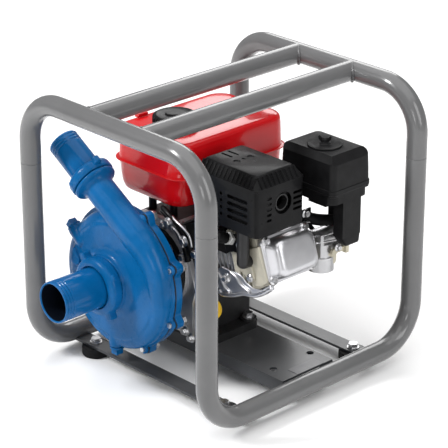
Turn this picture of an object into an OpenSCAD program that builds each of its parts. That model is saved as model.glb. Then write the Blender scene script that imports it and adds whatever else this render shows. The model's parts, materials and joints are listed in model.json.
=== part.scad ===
// Engine-driven water pump in a tube frame: cast volute pump on a small single-cylinder engine.
// X runs across the frame towards the cylinder head, Y along the crankshaft from the pump's
// suction to the recoil starter, Z up. The origin is on the floor under the middle of the machine.

/* [Frame] */
// Outside diameter of the frame tube
tube_d = 30; // [27:0.5:32]
// Wall of the frame tube
tube_wall = 1.8; // [1.2:0.1:3]
// Distance across the frame between leg centres
frame_width = 359; // [355:1:380]
// Distance along the frame between leg centres
frame_length = 405; // [400:1:430]
// Height from the bottom rail's centre to the top arch's centre
frame_height = 381.5; // [380:0.5:400]
// Bend radius at the tube's centre
bend_r = 64; // [55:1:75]
// How far the suction mouth stands out in front of the frame
suction_overhang = 42; // [42:1:60]

/* [Base] */
// Height of the rubber feet under the straps
foot_h = 15; // [12:1:25]
// Width of the engine plate
plate_w = 100; // [98:1:110]
// Sheet thickness of the plate
plate_t = 3; // [2:0.5:4]

/* [Pump] */
// Suction hose barb, outside diameter
suction_d = 60; // [58:0.5:62]
// Discharge hose barb, outside diameter
discharge_d = 46; // [44:0.5:47]
// Number of casing bolts
casing_bolt_count = 8; // [6:1:10]
// Number of impeller vanes
vane_count = 4; // [3:1:5]

/* [Engine] */
// Angle of the cylinder above horizontal
cylinder_tilt = 17; // [17:0.5:18]
// Crankshaft height above the engine's base
crank_height = 106; // [106:0.5:107]
// Cylinder bore
bore_d = 68; // [66:0.5:68]
// Crank throw, half the stroke
throw_r = 27; // [25:0.5:27]
// Connecting rod length between centres
rod_l = 84; // [83:0.5:85]

/* [Hidden] */
$fn = 64;

tube_r = tube_d / 2;
rail_z = foot_h - 5 + tube_r;
top_z = rail_z + frame_height;
frame_y = suction_overhang / 2;
half_w = frame_width / 2;
half_l = frame_length / 2;
seam_z = 309;
crossbar_x = [-54, 53];
plate_z = rail_z + tube_r;
strap_t = 4;
strap_w = 25;
foot_x = 135.6;
foot_y = 129.3;

// Engine datums: crank axis, faces along Y, cylinder plane
crank_x = -70;
crank_z = plate_z + crank_height;
pto_y = -47;
case_y = -33;
case_back_y = 72;
cyl_y = 26;
base_x = [-163, 23];
mount_x = [-151, 11];
mount_y = [-16.75, 58.75];

// Pump datums
mouth_y = frame_y - half_l - tube_r - suction_overhang;
parting_y = -106;
front_y = -137;
port_y = -153;
volute_r0 = 99;
volute_r1 = 107;
volute_a0 = 130;
volute_a1 = 418;
neck_angle = 58;
neck_offset = 92;
neck_y = -122;
neck_end = 117;
nut_start = 106;
barb_end = 188;
union_lip = 3.8;
suction_bore_r = 27;
suction_thread_r = 36;
neck_bore_r = 17;
neck_thread_r = 28;
bolt_circle_r = 108;

function spiral_r(a) = volute_r0 + (volute_r1 - volute_r0) * (a - volute_a0) / (volute_a1 - volute_a0);
function polar(r, a) = [r * cos(a), r * sin(a)];
// Straight-flanked gear teeth: share of the tooth pitch and height at each corner
tooth = [[-0.3, -1.8], [-0.12, 1], [0.12, 1], [0.3, -1.8]];
function gear_points(teeth, r) = [for (i = [0:teeth - 1]) for (k = tooth)
    polar(r + k[1], (i + k[0]) * 360 / teeth)];

module bar_y(x, z, y0, y1, r) {
    translate([x, y0, z]) rotate([-90, 0, 0]) cylinder(h = y1 - y0, r = r);
}

module ring_y(x, z, y0, y1, r_out, r_in) {
    difference() {
        bar_y(x, z, y0, y1, r_out);
        bar_y(x, z, y0 - 1, y1 + 1, r_in);
    }
}

// Flat outline drawn about the crank axis in X and Z, thickened from y0 to y1
module slab(y0, y1) {
    translate([crank_x, y1, crank_z]) rotate([90, 0, 0]) linear_extrude(y1 - y0) children();
}

// Local X runs out along the cylinder's axis from the crank axis
module on_cylinder() {
    translate([crank_x, cyl_y, crank_z]) rotate([0, -cylinder_tilt, 0]) children();
}

// Local Z runs out along the discharge neck
module on_neck() {
    start = polar(neck_offset, neck_angle);
    translate([crank_x + start[0], neck_y, crank_z + start[1]]) rotate([0, -neck_angle, 0])
        children();
}

module block(x, y, z) {
    translate([x[0], y[0], z[0]]) cube([x[1] - x[0], y[1] - y[0], z[1] - z[0]]);
}

module rounded_rect(w, d, r) {
    square([w - 2 * r, d], center = true);
    square([w, d - 2 * r], center = true);
    for (sx = [-1, 1], sy = [-1, 1])
        translate([sx * (w / 2 - r), sy * (d / 2 - r)]) circle(r);
}

module rounded_block(x, y, z, r) {
    translate([(x[0] + x[1]) / 2, (y[0] + y[1]) / 2, z[0]]) linear_extrude(z[1] - z[0])
        rounded_rect(x[1] - x[0], y[1] - y[0], r);
}

module hex_head(r, h) {
    cylinder(h = h, r = r, $fn = 6);
}

// ---- Frame ----

module tube(length) {
    difference() {
        cylinder(h = length, r = tube_r);
        translate([0, 0, -1]) cylinder(h = length + 2, r = tube_r - tube_wall);
    }
}

module quarter_bend() {
    rotate_extrude(angle = 90) translate([bend_r, 0]) difference() {
        circle(tube_r);
        circle(tube_r - tube_wall);
    }
}

// A run along X with both ends bent up; its centre line is at z = 0
module bent_tube(span, rise) {
    run = span - 2 * bend_r;
    translate([-run / 2, 0, 0]) rotate([0, 90, 0]) tube(run);
    for (side = [0, 1]) mirror([side, 0, 0]) {
        translate([span / 2 - bend_r, 0, bend_r]) mirror([0, 0, 1]) rotate([90, 0, 0]) quarter_bend();
        translate([span / 2, 0, bend_r]) tube(rise - bend_r);
    }
}

module rail(side) {
    translate([side * half_w, frame_y, rail_z]) rotate([0, 0, 90])
        bent_tube(frame_length, seam_z - rail_z);
}

module arch(side) {
    translate([0, frame_y + side * half_l, top_z]) mirror([0, 0, 1])
        bent_tube(frame_width, top_z - seam_z);
}

module rail_cutters() {
    for (side = [-1, 1]) bar_y(side * half_w, rail_z, frame_y - half_l, frame_y + half_l, tube_r);
}

module front_arch() color("dimgray") arch(-1);

module rear_arch() color("dimgray") arch(1);

module left_rail() color("dimgray") rail(-1);

module right_rail() color("dimgray") rail(1);

module crossbars() color("dimgray") difference() {
    for (x = crossbar_x) translate([x, frame_y - half_l, top_z]) rotate([-90, 0, 0]) tube(frame_length);
    for (side = [-1, 1]) translate([-half_w, frame_y + side * half_l, top_z]) rotate([0, 90, 0])
        cylinder(h = frame_width, r = tube_r);
}

module base_plate() color("darkslategray") difference() {
    plate_y = [frame_y - plate_w / 2, frame_y + plate_w / 2];
    lip_z = plate_z - 20;
    union() {
        block([-170, 170], plate_y, [plate_z - plate_t, plate_z]);
        block([-170, 170], [plate_y[0], plate_y[0] + plate_t], [lip_z, plate_z]);
        block([-170, 170], [plate_y[1] - plate_t, plate_y[1]], [lip_z, plate_z]);
    }
    rail_cutters();
    for (x = mount_x, y = mount_y) translate([x, y, lip_z]) cylinder(h = 30, r = 4.5);
    for (side = [-1, 1]) translate([134, frame_y + 4.5 + side * 36.75, lip_z]) cylinder(h = 30, r = 5.5);
    translate([-70, frame_y, lip_z]) cylinder(h = 30, r = 24);
}

module foot_straps() color("gray") difference() {
    for (side = [-1, 1]) block([-172, 172], [frame_y + side * foot_y - strap_w / 2,
        frame_y + side * foot_y + strap_w / 2], [foot_h, foot_h + strap_t]);
    rail_cutters();
    at_feet() cylinder(h = 40, r = 4.5);
}

module at_feet() {
    for (sx = [-1, 1], sy = [-1, 1]) translate([sx * foot_x, frame_y + sy * foot_y, 0]) children();
}

module rubber_feet() color("black") at_feet() difference() {
    union() {
        cylinder(h = 3, r1 = 19.5, r2 = 21);
        translate([0, 0, 3]) cylinder(h = foot_h - 3, r = 21);
    }
    translate([0, 0, -1]) cylinder(h = 7, r = 9);
    cylinder(h = foot_h + 1, r = 4.2);
}

module foot_bolts() color("silver") at_feet() {
    translate([0, 0, 2]) cylinder(h = foot_h + strap_t - 2, r = 4);
    translate([0, 0, foot_h + strap_t]) cylinder(h = 1.5, r = 9);
    translate([0, 0, foot_h + strap_t + 1.5]) hex_head(7.2, 5.5);
    translate([0, 0, 1]) hex_head(7.2, 5);
}

// ---- Pump ----

module spiral_outline(inset) {
    polygon([for (a = [volute_a0:8:volute_a1]) polar(spiral_r(a) - inset, a)]);
}

module casing_lugs(y0, y1) {
    for (i = [0:casing_bolt_count - 1]) {
        p = polar(bolt_circle_r, 22.5 + i * 360 / casing_bolt_count);
        bar_y(crank_x + p[0], crank_z + p[1], y0, y1, 9);
    }
}

module casing_bolt_holes() {
    for (i = [0:casing_bolt_count - 1]) {
        p = polar(bolt_circle_r, 22.5 + i * 360 / casing_bolt_count);
        bar_y(crank_x + p[0], crank_z + p[1], -150, -80, 4.2);
    }
}

plug_angle = 147.4;
plug_seat = 101;
module on_priming_boss() {
    translate([crank_x, -125.5, crank_z]) rotate([0, 90 - plug_angle, 0]) children();
}

module volute_casing() color("royalblue") difference() {
    union() {
        slab(-129, parting_y) spiral_outline(0);
        slab(front_y, -129) spiral_outline(9);
        bar_y(crank_x, crank_z, -112, parting_y, 107);
        casing_lugs(-114, parting_y);
        bar_y(crank_x, crank_z, port_y, front_y + 1, suction_thread_r);
        bar_y(crank_x, crank_z, front_y - 4, front_y + 1, suction_thread_r + 4);
        difference() {
            on_neck() {
                translate([0, 0, -10]) cylinder(h = 120, r1 = 25, r2 = 21.5);
                translate([0, 0, nut_start - 1]) cylinder(h = neck_end - nut_start + 1, r = neck_thread_r);
            }
            bar_y(crank_x, crank_z, parting_y, -60, 118);
        }
        on_priming_boss() translate([0, 0, 80]) cylinder(h = plug_seat - 80, r = 11.5);
        translate([crank_x, -124, crank_z - 104]) cylinder(h = 20, r = 11);
    }
    bar_y(crank_x, crank_z, port_y - 1, front_y + 10, suction_bore_r);
    slab(-130, parting_y + 1) circle(68);
    slab(-125, parting_y + 1) spiral_outline(9);
    on_neck() translate([0, 0, -12]) cylinder(h = neck_end + 13, r = neck_bore_r);
    casing_bolt_holes();
    on_priming_boss() translate([0, 0, 80]) cylinder(h = 30, r = 8.3);
    translate([crank_x, -124, crank_z - 110]) cylinder(h = 20, r = 8.3);
}

module casing_gasket() color("black") difference() {
    union() {
        bar_y(crank_x, crank_z, parting_y, parting_y + 1.5, 107);
        casing_lugs(parting_y, parting_y + 1.5);
    }
    bar_y(crank_x, crank_z, parting_y - 1, parting_y + 3, 99);
    casing_bolt_holes();
}

back_y = parting_y + 1.5;
module pump_back_plate() color("royalblue") difference() {
    union() {
        bar_y(crank_x, crank_z, back_y, back_y + 12.5, 106);
        casing_lugs(back_y, back_y + 12.5);
        bar_y(crank_x, crank_z, back_y + 12, -80, 30);
    }
    ring_y(crank_x, crank_z, back_y + 7, -91, 100, 30);
    bar_y(crank_x, crank_z, back_y - 1, -70, 18);
    casing_bolt_holes();
    for (a = [45:90:315]) bar_y(crank_x + 56 * cos(a), crank_z + 56 * sin(a), -110, -80, 4.2);
}

module pump_bracket() color("black") difference() {
    union() {
        bar_y(crank_x, crank_z, -97.5, -89, 64);
        bar_y(crank_x, crank_z, -97.5, -47, 47.5);
        bar_y(crank_x, crank_z, -56, -47, 62);
    }
    bar_y(crank_x, crank_z, -98, -46, 41);
    block([crank_x - 80, crank_x + 80], [-84, -60], [crank_z - 22, crank_z + 22]);
    for (a = [45:90:315]) {
        bar_y(crank_x + 56 * cos(a), crank_z + 56 * sin(a), -98, -80, 4.2);
        bar_y(crank_x + 56 * cos(a), crank_z + 56 * sin(a), -60, -40, 4.2);
    }
}

module casing_bolts() color("silver") {
    for (i = [0:casing_bolt_count - 1]) {
        p = polar(bolt_circle_r, 22.5 + i * 360 / casing_bolt_count);
        translate([crank_x + p[0], -92, crank_z + p[1]]) rotate([-90, 0, 0]) {
            translate([0, 0, -22]) cylinder(h = 22, r = 4);
            cylinder(h = 1.4, r = 8.4);
            translate([0, 0, 1.4]) hex_head(7.2, 5.5);
        }
    }
}

module bracket_bolts() color("silver") {
    for (a = [45:90:315]) translate([crank_x + 56 * cos(a), 0, crank_z + 56 * sin(a)]) {
        rotate([-90, 0, 0]) translate([0, 0, -102]) cylinder(h = 13, r = 4);
        translate([0, -89, 0]) rotate([-90, 0, 0]) hex_head(7.2, 5.5);
        translate([0, -56, 0]) rotate([-90, 0, 0]) cylinder(h = 18, r = 4);
        translate([0, -56, 0]) rotate([90, 0, 0]) hex_head(7.2, 5.5);
    }
}

// Union nut with two lugs, closed end towards the hose; local Z runs out towards the hose
module union_nut(outer, flange_r, thread_r, barb_r, depth) {
    difference() {
        union() {
            cylinder(h = depth, r = outer);
            for (a = [0, 180]) rotate([0, 0, a]) translate([outer - 3, -6, 2]) cube([13, 12, depth - 5]);
        }
        translate([0, 0, -1]) cylinder(h = depth - union_lip + 1, r = max(flange_r, thread_r) + 0.3);
        cylinder(h = depth + 1, r = barb_r + 1.2);
    }
}

// Hose barb: stepped root, plain wall, three grooves at the mouth; local Z runs out to the hose
barb_root = 12;
groove_pitch = 5;
module hose_barb(outer, inner, flange_r, length) {
    difference() {
        union() {
            cylinder(h = 5, r = flange_r);
            cylinder(h = length, r = outer - 0.6);
            translate([0, 0, barb_root]) cylinder(h = length - barb_root, r = outer);
        }
        translate([0, 0, -1]) cylinder(h = length + 2, r = inner);
        for (i = [1:3]) translate([0, 0, length - 1 - i * groove_pitch]) difference() {
            cylinder(h = 2.5, r = outer + 1);
            translate([0, 0, -1]) cylinder(h = 5, r = outer - 1.4);
        }
    }
}

module at_suction() {
    translate([crank_x, port_y, crank_z]) rotate([90, 0, 0]) children();
}

module suction_union_nut() color("royalblue") at_suction() translate([0, 0, -11.5])
    rotate([0, 0, 35]) union_nut(42.5, 35, suction_thread_r, suction_d / 2, 20.6);

module suction_hose_barb() color("royalblue") at_suction()
    hose_barb(suction_d / 2, suction_bore_r, 35, port_y - mouth_y);

module discharge_union_nut() color("royalblue") on_neck() translate([0, 0, nut_start])
    rotate([0, 0, 82]) union_nut(34.5, 27.5, neck_thread_r, discharge_d / 2, 20.1);

module discharge_hose_barb() color("royalblue") on_neck() translate([0, 0, neck_end])
    hose_barb(discharge_d / 2, discharge_d / 2 - 3.2, 27.5, barb_end - neck_end);

module square_plug(shank) {
    translate([0, 0, -shank]) cylinder(h = shank, r = 8);
    cylinder(h = 3, r = 10.5);
    translate([-6, -6, 3]) cube([12, 12, 9]);
}

module priming_plug() color("royalblue") on_priming_boss()
    translate([0, 0, plug_seat]) square_plug(14);

module drain_plug() color("royalblue") translate([crank_x, -124, crank_z - 104])
    rotate([180, 0, 0]) square_plug(8);

module impeller() color("gray") {
    difference() {
        union() {
            bar_y(crank_x, crank_z, -110.5, -107.5, 60);
            bar_y(crank_x, crank_z, -124, -107.5, 17);
            intersection() {
                for (i = [0:vane_count - 1]) translate([crank_x, -110, crank_z])
                    rotate([90, i * 360 / vane_count, 0]) translate([-14, -34, 0])
                        rotate_extrude(angle = 84) translate([36, 0]) square([5, 16]);
                bar_y(crank_x, crank_z, -126, -110, 60);
            }
        }
        bar_y(crank_x, crank_z, -127, -107, 10);
    }
    bar_y(crank_x, crank_z, -128, -126, 12);
    translate([crank_x, -128, crank_z]) rotate([90, 0, 0]) hex_head(9, 5);
}

module mechanical_seal() color("dimgray") {
    ring_y(crank_x, crank_z, -107.5, -96, 16.5, 10);
}

// ---- Engine block ----

case_outline = [[-66, -94], [70, -94], [70, -40], [75.9, -21.3], [47.8, 70.5], [-40, 70.5], [-66, 44]];
case_cavity = [[-60, -92], [65, -92], [65, -38], [69.6, -22], [42.5, 64.5], [-37, 64.5], [-60, 41]];
crank_teeth = 20;
crank_gear_r = 18;
cam_angle = -62;
cam_pos = polar(3 * crank_gear_r, cam_angle);
cam_mesh = cam_angle * crank_teeth / 360 - floor(cam_angle * crank_teeth / 360);
cam_phase = cam_angle + 180 + (cam_mesh - 0.5) * 180 / crank_teeth;
filler_pos = [70, -17, -61];

module on_filler() {
    translate([crank_x + filler_pos[0], filler_pos[1], crank_z + filler_pos[2]])
        rotate([0, 60, 0]) children();
}

module crankcase() color("silver") difference() {
    union() {
        slab(case_y, case_back_y) polygon(case_outline);
        rounded_block(base_x, [-28, 70], [plate_z, plate_z + 12], 8);
        for (x = mount_x, y = mount_y) translate([x, y, plate_z]) cylinder(h = 16, r = 12);
        on_filler() translate([0, 0, -6]) cylinder(h = 18, r = 14);
        for (x = [-104, -60], y = [-22, 60]) translate([x, y, crank_z + 68])
            cylinder(h = tank_z[0] - crank_z - 68, r = 6);
    }
    slab(case_y - 1, 56) polygon(case_cavity);
    bar_y(crank_x, crank_z, 50, 80, 13);
    bar_y(crank_x, crank_z, 57, 80, 26);
    bar_y(crank_x + cam_pos[0], crank_z + cam_pos[1], 50, 66, 7.04);
    on_cylinder() rotate([0, 90, 0]) cylinder(h = 90, r = 40.9);
    on_filler() translate([0, 0, -20]) cylinder(h = 50, r = 10.3);
    for (x = mount_x, y = mount_y) translate([x, y, plate_z - 1]) cylinder(h = 20, r = 4.5);
}

module crankcase_cover() color("silver") difference() {
    union() {
        slab(pto_y + 6, case_y) polygon(case_outline);
        bar_y(crank_x, crank_z, pto_y, case_y, 62);
        bar_y(crank_x, crank_z, pto_y, -22.5, 31);
        bar_y(crank_x + cam_pos[0], crank_z + cam_pos[1], pto_y + 4, -24, 12);
    }
    bar_y(crank_x, crank_z, -60, -20, 13);
    bar_y(crank_x, crank_z, -38, -20, 26);
    bar_y(crank_x + cam_pos[0], crank_z + cam_pos[1], -38, -20, 7.04);
    for (a = [45:90:315]) bar_y(crank_x + 56 * cos(a), crank_z + 56 * sin(a), -60, -38, 4);
}

module main_bearings() color("lightgray") {
    ring_y(crank_x, crank_z, -38, -23, 26, 12.54);
    ring_y(crank_x, crank_z, 57, 72, 26, 12.54);
}

module crank_web(y0, y1) {
    slab(y0, y1) rotate([0, 0, cylinder_tilt]) {
        intersection() {
            circle(40);
            translate([-40, -34]) square([36, 68]);
        }
        polygon([[-10, -28], [throw_r, -16], [throw_r, 16], [-10, 28]]);
        translate([throw_r, 0]) circle(16);
    }
}

module crankshaft() color("lightgray") difference() {
    pin = polar(throw_r, cylinder_tilt);
    union() {
        bar_y(crank_x, crank_z, -126, -47, 10);
        bar_y(crank_x, crank_z, -47, -20, 12.5);
        slab(-20, -8) polygon(gear_points(crank_teeth, crank_gear_r));
        bar_y(crank_x, crank_z, -8, -1, 14);
        crank_web(-1, 13);
        bar_y(crank_x + pin[0], crank_z + pin[1], 13, 39, 14);
        crank_web(39, 53);
        bar_y(crank_x, crank_z, 53, 74, 12.5);
        bar_y(crank_x, crank_z, 74, 126, 10);
    }
}

module camshaft() color("gray") {
    x = crank_x + cam_pos[0];
    z = crank_z + cam_pos[1];
    slab(-20, -8) translate(cam_pos) rotate(cam_phase)
        polygon(gear_points(2 * crank_teeth, 2 * crank_gear_r));
    bar_y(x, z, -37.5, 65.5, 7);
    for (y = [1, 43]) slab(y, y + 8) translate(cam_pos) {
        circle(8);
        rotate(200 + y) translate([3, 0]) circle(6);
    }
}

rod_cut = 54;
module rod_big_end() color("silver") on_cylinder() difference() {
    union() {
        translate([throw_r, 12.5, 0]) rotate([90, 0, 0]) cylinder(h = 25, r = 19);
        block([throw_r + 15, rod_cut - 0.5], [-6, 6], [-7, 7]);
    }
    translate([throw_r, 20, 0]) rotate([90, 0, 0]) cylinder(h = 40, r = 14.04);
}

module rod_small_end() color("silver") on_cylinder() difference() {
    union() {
        block([rod_cut, throw_r + rod_l - 10], [-6, 6], [-7, 7]);
        translate([throw_r + rod_l, 11, 0]) rotate([90, 0, 0]) cylinder(h = 22, r = 13);
    }
    translate([throw_r + rod_l, 20, 0]) rotate([90, 0, 0]) cylinder(h = 40, r = 9);
}

module wrist_pin() color("lightgray") on_cylinder() translate([throw_r + rod_l, 30, 0])
    rotate([90, 0, 0]) difference() {
        cylinder(h = 60, r = 9);
        translate([0, 0, -1]) cylinder(h = 62, r = 5);
    }

piston_top = throw_r + rod_l + 25;
module piston() color("silver") on_cylinder() difference() {
    translate([piston_top - 46, 0, 0]) rotate([0, 90, 0]) cylinder(h = 46, r = bore_d / 2 - 0.1);
    translate([piston_top - 47, 0, 0]) rotate([0, 90, 0]) cylinder(h = 37, r = 27);
    translate([throw_r + rod_l, 40, 0]) rotate([90, 0, 0]) cylinder(h = 80, r = 9);
    for (d = [4, 8, 12]) piston_groove(d, bore_d / 2 + 1);
}

module piston_groove(d, r) {
    translate([piston_top - d - 1.6, 0, 0]) rotate([0, 90, 0]) difference() {
        cylinder(h = 1.6, r = r);
        translate([0, 0, -1]) cylinder(h = 4, r = bore_d / 2 - 3);
    }
}

module piston_rings() color("gray") on_cylinder() for (d = [4, 8, 12]) piston_groove(d, bore_d / 2);

module cylinder_fins(x0, count, half_y, half_z) {
    for (i = [0:count - 1]) block([x0 + i * 8, x0 + i * 8 + 2.5], [-half_y, half_y], [-half_z, half_z]);
}

module cylinder_block_blank() {
    translate([59.5, 0, 0]) rotate([0, 90, 0]) cylinder(h = piston_top + 1 - 59.5, r = 40.9);
    block([66.4, 73], [-44, 44], [-43, 43]);
    cylinder_fins(80, 7, 44, 42);
    block([piston_top - 3, piston_top + 1], [-44, 44], [-42, 42]);
}

module cylinder_barrel() color("silver") on_cylinder() difference() {
    cylinder_block_blank();
    translate([50, 0, 0]) rotate([0, 90, 0]) cylinder(h = 100, r = bore_d / 2);
    translate([60, 6, -39]) cube([90, 30, 6]);
}

head_x = piston_top + 1;
head_end = 190;
module cylinder_head() color("darkgray") on_cylinder() difference() {
    union() {
        block([head_x, head_x + 10], [-46, 46], [-44, 44]);
        cylinder_fins(head_x + 14, 3, 46, 44);
        block([head_x, head_end - 8], [-38, 38], [-30, 30]);
        block([head_end - 8, head_end], [-44, 44], [-33, 33]);
        translate([170, 46, 0]) rotate([90, 0, 0]) cylinder(h = 92, r = 17);
    }
    block([head_x - 1, head_x + 7], [-24, 24], [-16, 16]);
    block([head_end - 16, head_end + 1], [-34, 34], [-24, 24]);
    for (y = [-13, 13]) translate([head_x, y, 0]) rotate([0, 90, 0]) cylinder(h = 50, r = 3.2);
    for (side = [0, 1]) mirror([0, side, 0]) translate([170, 47, 0]) rotate([90, 0, 0])
        cylinder(h = 20, r = 11);
    on_plug_hole() cylinder(h = 60, r = 5.2);
}

module on_plug_hole() {
    translate([head_x + 12, -20, 20]) rotate([68, 0, 0]) children();
}

module valves() color("gray") on_cylinder() for (y = [-13, 13]) translate([head_x, y, 0]) {
    translate([1, 0, 0]) rotate([0, 90, 0]) cylinder(h = 3, r = 11);
    translate([3, 0, 0]) rotate([0, 90, 0]) cylinder(h = 54, r = 3);
    translate([52, 0, 0]) rotate([0, 90, 0]) cylinder(h = 2.5, r = 8.5);
    translate([38, 0, 0]) rotate([0, 90, 0]) difference() {
        cylinder(h = 14, r = 8);
        translate([0, 0, -1]) cylinder(h = 16, r = 5.5);
    }
}

module rocker_arms() color("silver") on_cylinder() for (y = [-13, 13]) {
    block([head_x + 58, head_x + 63], [y - 4, y + 4], [-20, 6]);
    translate([head_end - 16, y, -19]) rotate([0, 90, 0]) cylinder(h = 22, r = 3);
}

module valve_cover() color("silver") on_cylinder() difference() {
    union() {
        block([head_end, head_end + 4], [-44, 44], [-33, 33]);
        translate([head_end + 2, 0, 0]) rotate([0, 90, 0]) linear_extrude(22) rounded_rect(56, 78, 12);
        for (y = [-38, 38], z = [-28, 28]) translate([head_end + 4, y, z]) rotate([0, 90, 0])
            hex_head(6, 6);
    }
    translate([head_end - 1, 0, 0]) rotate([0, 90, 0]) linear_extrude(22) rounded_rect(50, 72, 9);
}

module spark_plug() color("white") on_cylinder() on_plug_hole() {
    translate([0, 0, 6]) cylinder(h = 28, r = 5);
    translate([0, 0, 34]) hex_head(10, 7);
    translate([0, 0, 41]) cylinder(h = 12, r = 5);
}

// Ignition lead: held against the shroud from the coil to the plug cap
lead_r = 3.5;
lead_route = [[50, -42, 228], [42, -42, 230], [30, -39, 234], [18, -31, 236], [8, -18, 235],
    [3, 0, 231], [0, 22, 228], [-1, 44, 225], [-2, 62, 222], [-2, 80, 222]];

function unit(v) = v / norm(v);
function tangent(pts, i) = unit(pts[min(i + 1, len(pts) - 1)] - pts[max(i - 1, 0)]);
function lead_ring(p, t, r, sides) = let (u = unit(cross(t, [0.3, 0.1, 1])), v = cross(t, u))
    [for (k = [0:sides - 1]) p + r * (cos(k * 360 / sides) * u + sin(k * 360 / sides) * v)];

module sweep(pts, r, sides) {
    n = len(pts);
    rings = [for (i = [0:n - 1]) each lead_ring(pts[i], tangent(pts, i), r, sides)];
    sides_faces = [for (i = [0:n - 2], k = [0:sides - 1]) [i * sides + k, (i + 1) * sides + k,
        (i + 1) * sides + (k + 1) % sides, i * sides + (k + 1) % sides]];
    polyhedron(rings, concat(sides_faces, [[for (k = [0:sides - 1]) k]],
        [[for (k = [sides - 1:-1:0]) (n - 1) * sides + k]]), convexity = 6);
}

module plug_lead() color("black") {
    sweep(lead_route, lead_r, 8);
    difference() {
        union() {
            on_cylinder() on_plug_hole() translate([0, 0, 44]) cylinder(h = 17, r = 8);
            translate([50, -42, 228]) rotate([0, 90, 0]) cylinder(h = 10, r = 5);
        }
        on_cylinder() on_plug_hole() translate([0, 0, 30]) cylinder(h = 23, r = 5);
    }
}

module cylinder_shroud() color("black") {
    on_cylinder() difference() {
        union() {
            block([76, head_x - 4], [-47, -44.5], [-20, 46]);
            block([76, head_x - 4], [-47, 46], [43.5, 46]);
        }
        for (x = [90, 118]) translate([x, -40, 30]) rotate([90, 0, 0]) cylinder(h = 12, r = 3);
    }
}

// ---- Cooling and starter ----

fan_front_y = 74;
fan_back_y = 128;
module housing_outline(grow) {
    circle(92 + grow);
    translate([-10, 0]) square([90 + grow, 86 + grow]);
}

module blower_housing() color("black") difference() {
    slab(case_back_y, fan_back_y + 2.5) housing_outline(2.5);
    slab(fan_front_y, fan_back_y) housing_outline(0);
    bar_y(crank_x, crank_z, fan_back_y - 1, fan_back_y + 4, 62);
    bar_y(crank_x, crank_z, case_back_y - 1, fan_front_y + 1, 58);
    slab(case_back_y - 1, fan_front_y + 1) translate([44, -2]) square([36, 88]);
}

module flywheel() color("gray") difference() {
    union() {
        bar_y(crank_x, crank_z, 84, 92, 80);
        bar_y(crank_x, crank_z, 80, 104, 30);
        for (i = [0:15]) translate([crank_x, 91, crank_z]) rotate([0, i * 22.5, 0])
            translate([52, 0, -1.5]) cube([28, 18, 3]);
        ring_y(crank_x, crank_z, 104, 124, 34, 30);
        bar_y(crank_x, crank_z, 104, 107, 34);
    }
    bar_y(crank_x, crank_z, 70, 110, 10);
}

module ignition_coil() color("dimgray") {
    block([crank_x + 57, crank_x + 80], [80, 100], [crank_z + 64, crank_z + 86]);
}

module recoil_housing() color("black") difference() {
    bar_y(crank_x, crank_z, fan_back_y + 2.5, 164, 76);
    ring_y(crank_x, crank_z, fan_back_y + 1, 161, 72, 8);
    bar_y(crank_x, crank_z, fan_back_y + 1, 136, 10);
    for (i = [0:11]) translate([crank_x, 165, crank_z]) rotate([0, i * 30, 0])
        translate([40, -6, -4]) cube([24, 10, 8]);
    translate([crank_x - 90, 144, crank_z + 50]) rotate([0, 90, 0]) cylinder(h = 60, r = 5);
}

module recoil_pulley() color("lightgray") difference() {
    union() {
        bar_y(crank_x, crank_z, 138, 141, 58);
        bar_y(crank_x, crank_z, 138, 150, 46);
        bar_y(crank_x, crank_z, 147, 150, 58);
    }
    bar_y(crank_x, crank_z, 130, 160, 8.05);
}

module recoil_handle() color("black") translate([crank_x - 88, 144, crank_z + 50]) {
    translate([0, 0, -28]) cylinder(h = 56, r = 9);
    rotate([0, 90, 0]) cylinder(h = 136, r = 2);
}

// ---- Fuel, air and exhaust ----

tank_x = [-158, -6];
tank_y = [-60, 165];
tank_z = [244, 342];
tank_seam_z = 292;
cap_x = -88;
cap_y = 9;

module tank_slice(z, inset) {
    rounded_block([tank_x[0] + inset, tank_x[1] - inset], [tank_y[0] + inset, tank_y[1] - inset],
        [z, z + 0.5], 26);
}

module tank_form(wall) {
    hull() {
        tank_slice(tank_seam_z, 4 + wall);
        tank_slice(tank_z[1] - 4.5 - wall, 5.5 + wall);
        tank_slice(tank_z[1] - 0.5 - wall, 11 + wall);
    }
    hull() {
        tank_slice(tank_seam_z, 4 + wall);
        tank_slice(tank_z[0] + 6 + wall, 9 + wall);
        tank_slice(tank_z[0] + wall, 17 + wall);
    }
}

module fuel_tank() color("red") difference() {
    union() {
        tank_form(0);
        tank_slice(tank_seam_z - 1, 0);
        tank_slice(tank_seam_z - 0.5, 0);
        tank_slice(tank_seam_z, 0);
        translate([cap_x, cap_y, tank_z[1] - 3]) cylinder(h = 11, r = 22);
    }
    tank_form(2);
    translate([cap_x, cap_y, tank_z[1] - 10]) cylinder(h = 30, r = 19);
}

module fuel_cap() color("black") translate([cap_x, cap_y, tank_z[1] + 1]) difference() {
    union() {
        cylinder(h = 13, r = 32);
        translate([0, 0, 13]) cylinder(h = 3, r1 = 32, r2 = 29);
        for (i = [0:35]) rotate([0, 0, i * 10]) translate([31, -1.2, 0]) cube([2.2, 2.4, 12]);
    }
    translate([0, 0, -1]) cylinder(h = 10, r = 22.4);
}

carb_x = 106;
port_x = 92.6;
carb_z = 196;
module carburettor() color("silver") difference() {
    union() {
        bar_y(carb_x, carb_z, 84, 134, 15);
        block([carb_x - 24, carb_x + 24], [84, 90], [carb_z - 17, carb_z + 17]);
        block([carb_x - 20, carb_x + 20], [128, 134], [carb_z - 17, carb_z + 17]);
        translate([carb_x, 110, carb_z - 26]) cylinder(h = 20, r = 17);
        translate([carb_x, 110, carb_z - 48]) cylinder(h = 22, r = 19);
        translate([carb_x, 110, carb_z - 54]) hex_head(6, 6);
        bar_y(port_x, carb_z, 72.2, 84, 15);
    }
    bar_y(carb_x, carb_z, 86, 135, 10);
    bar_y(port_x, carb_z, 71, 92, 9);
}

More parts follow.
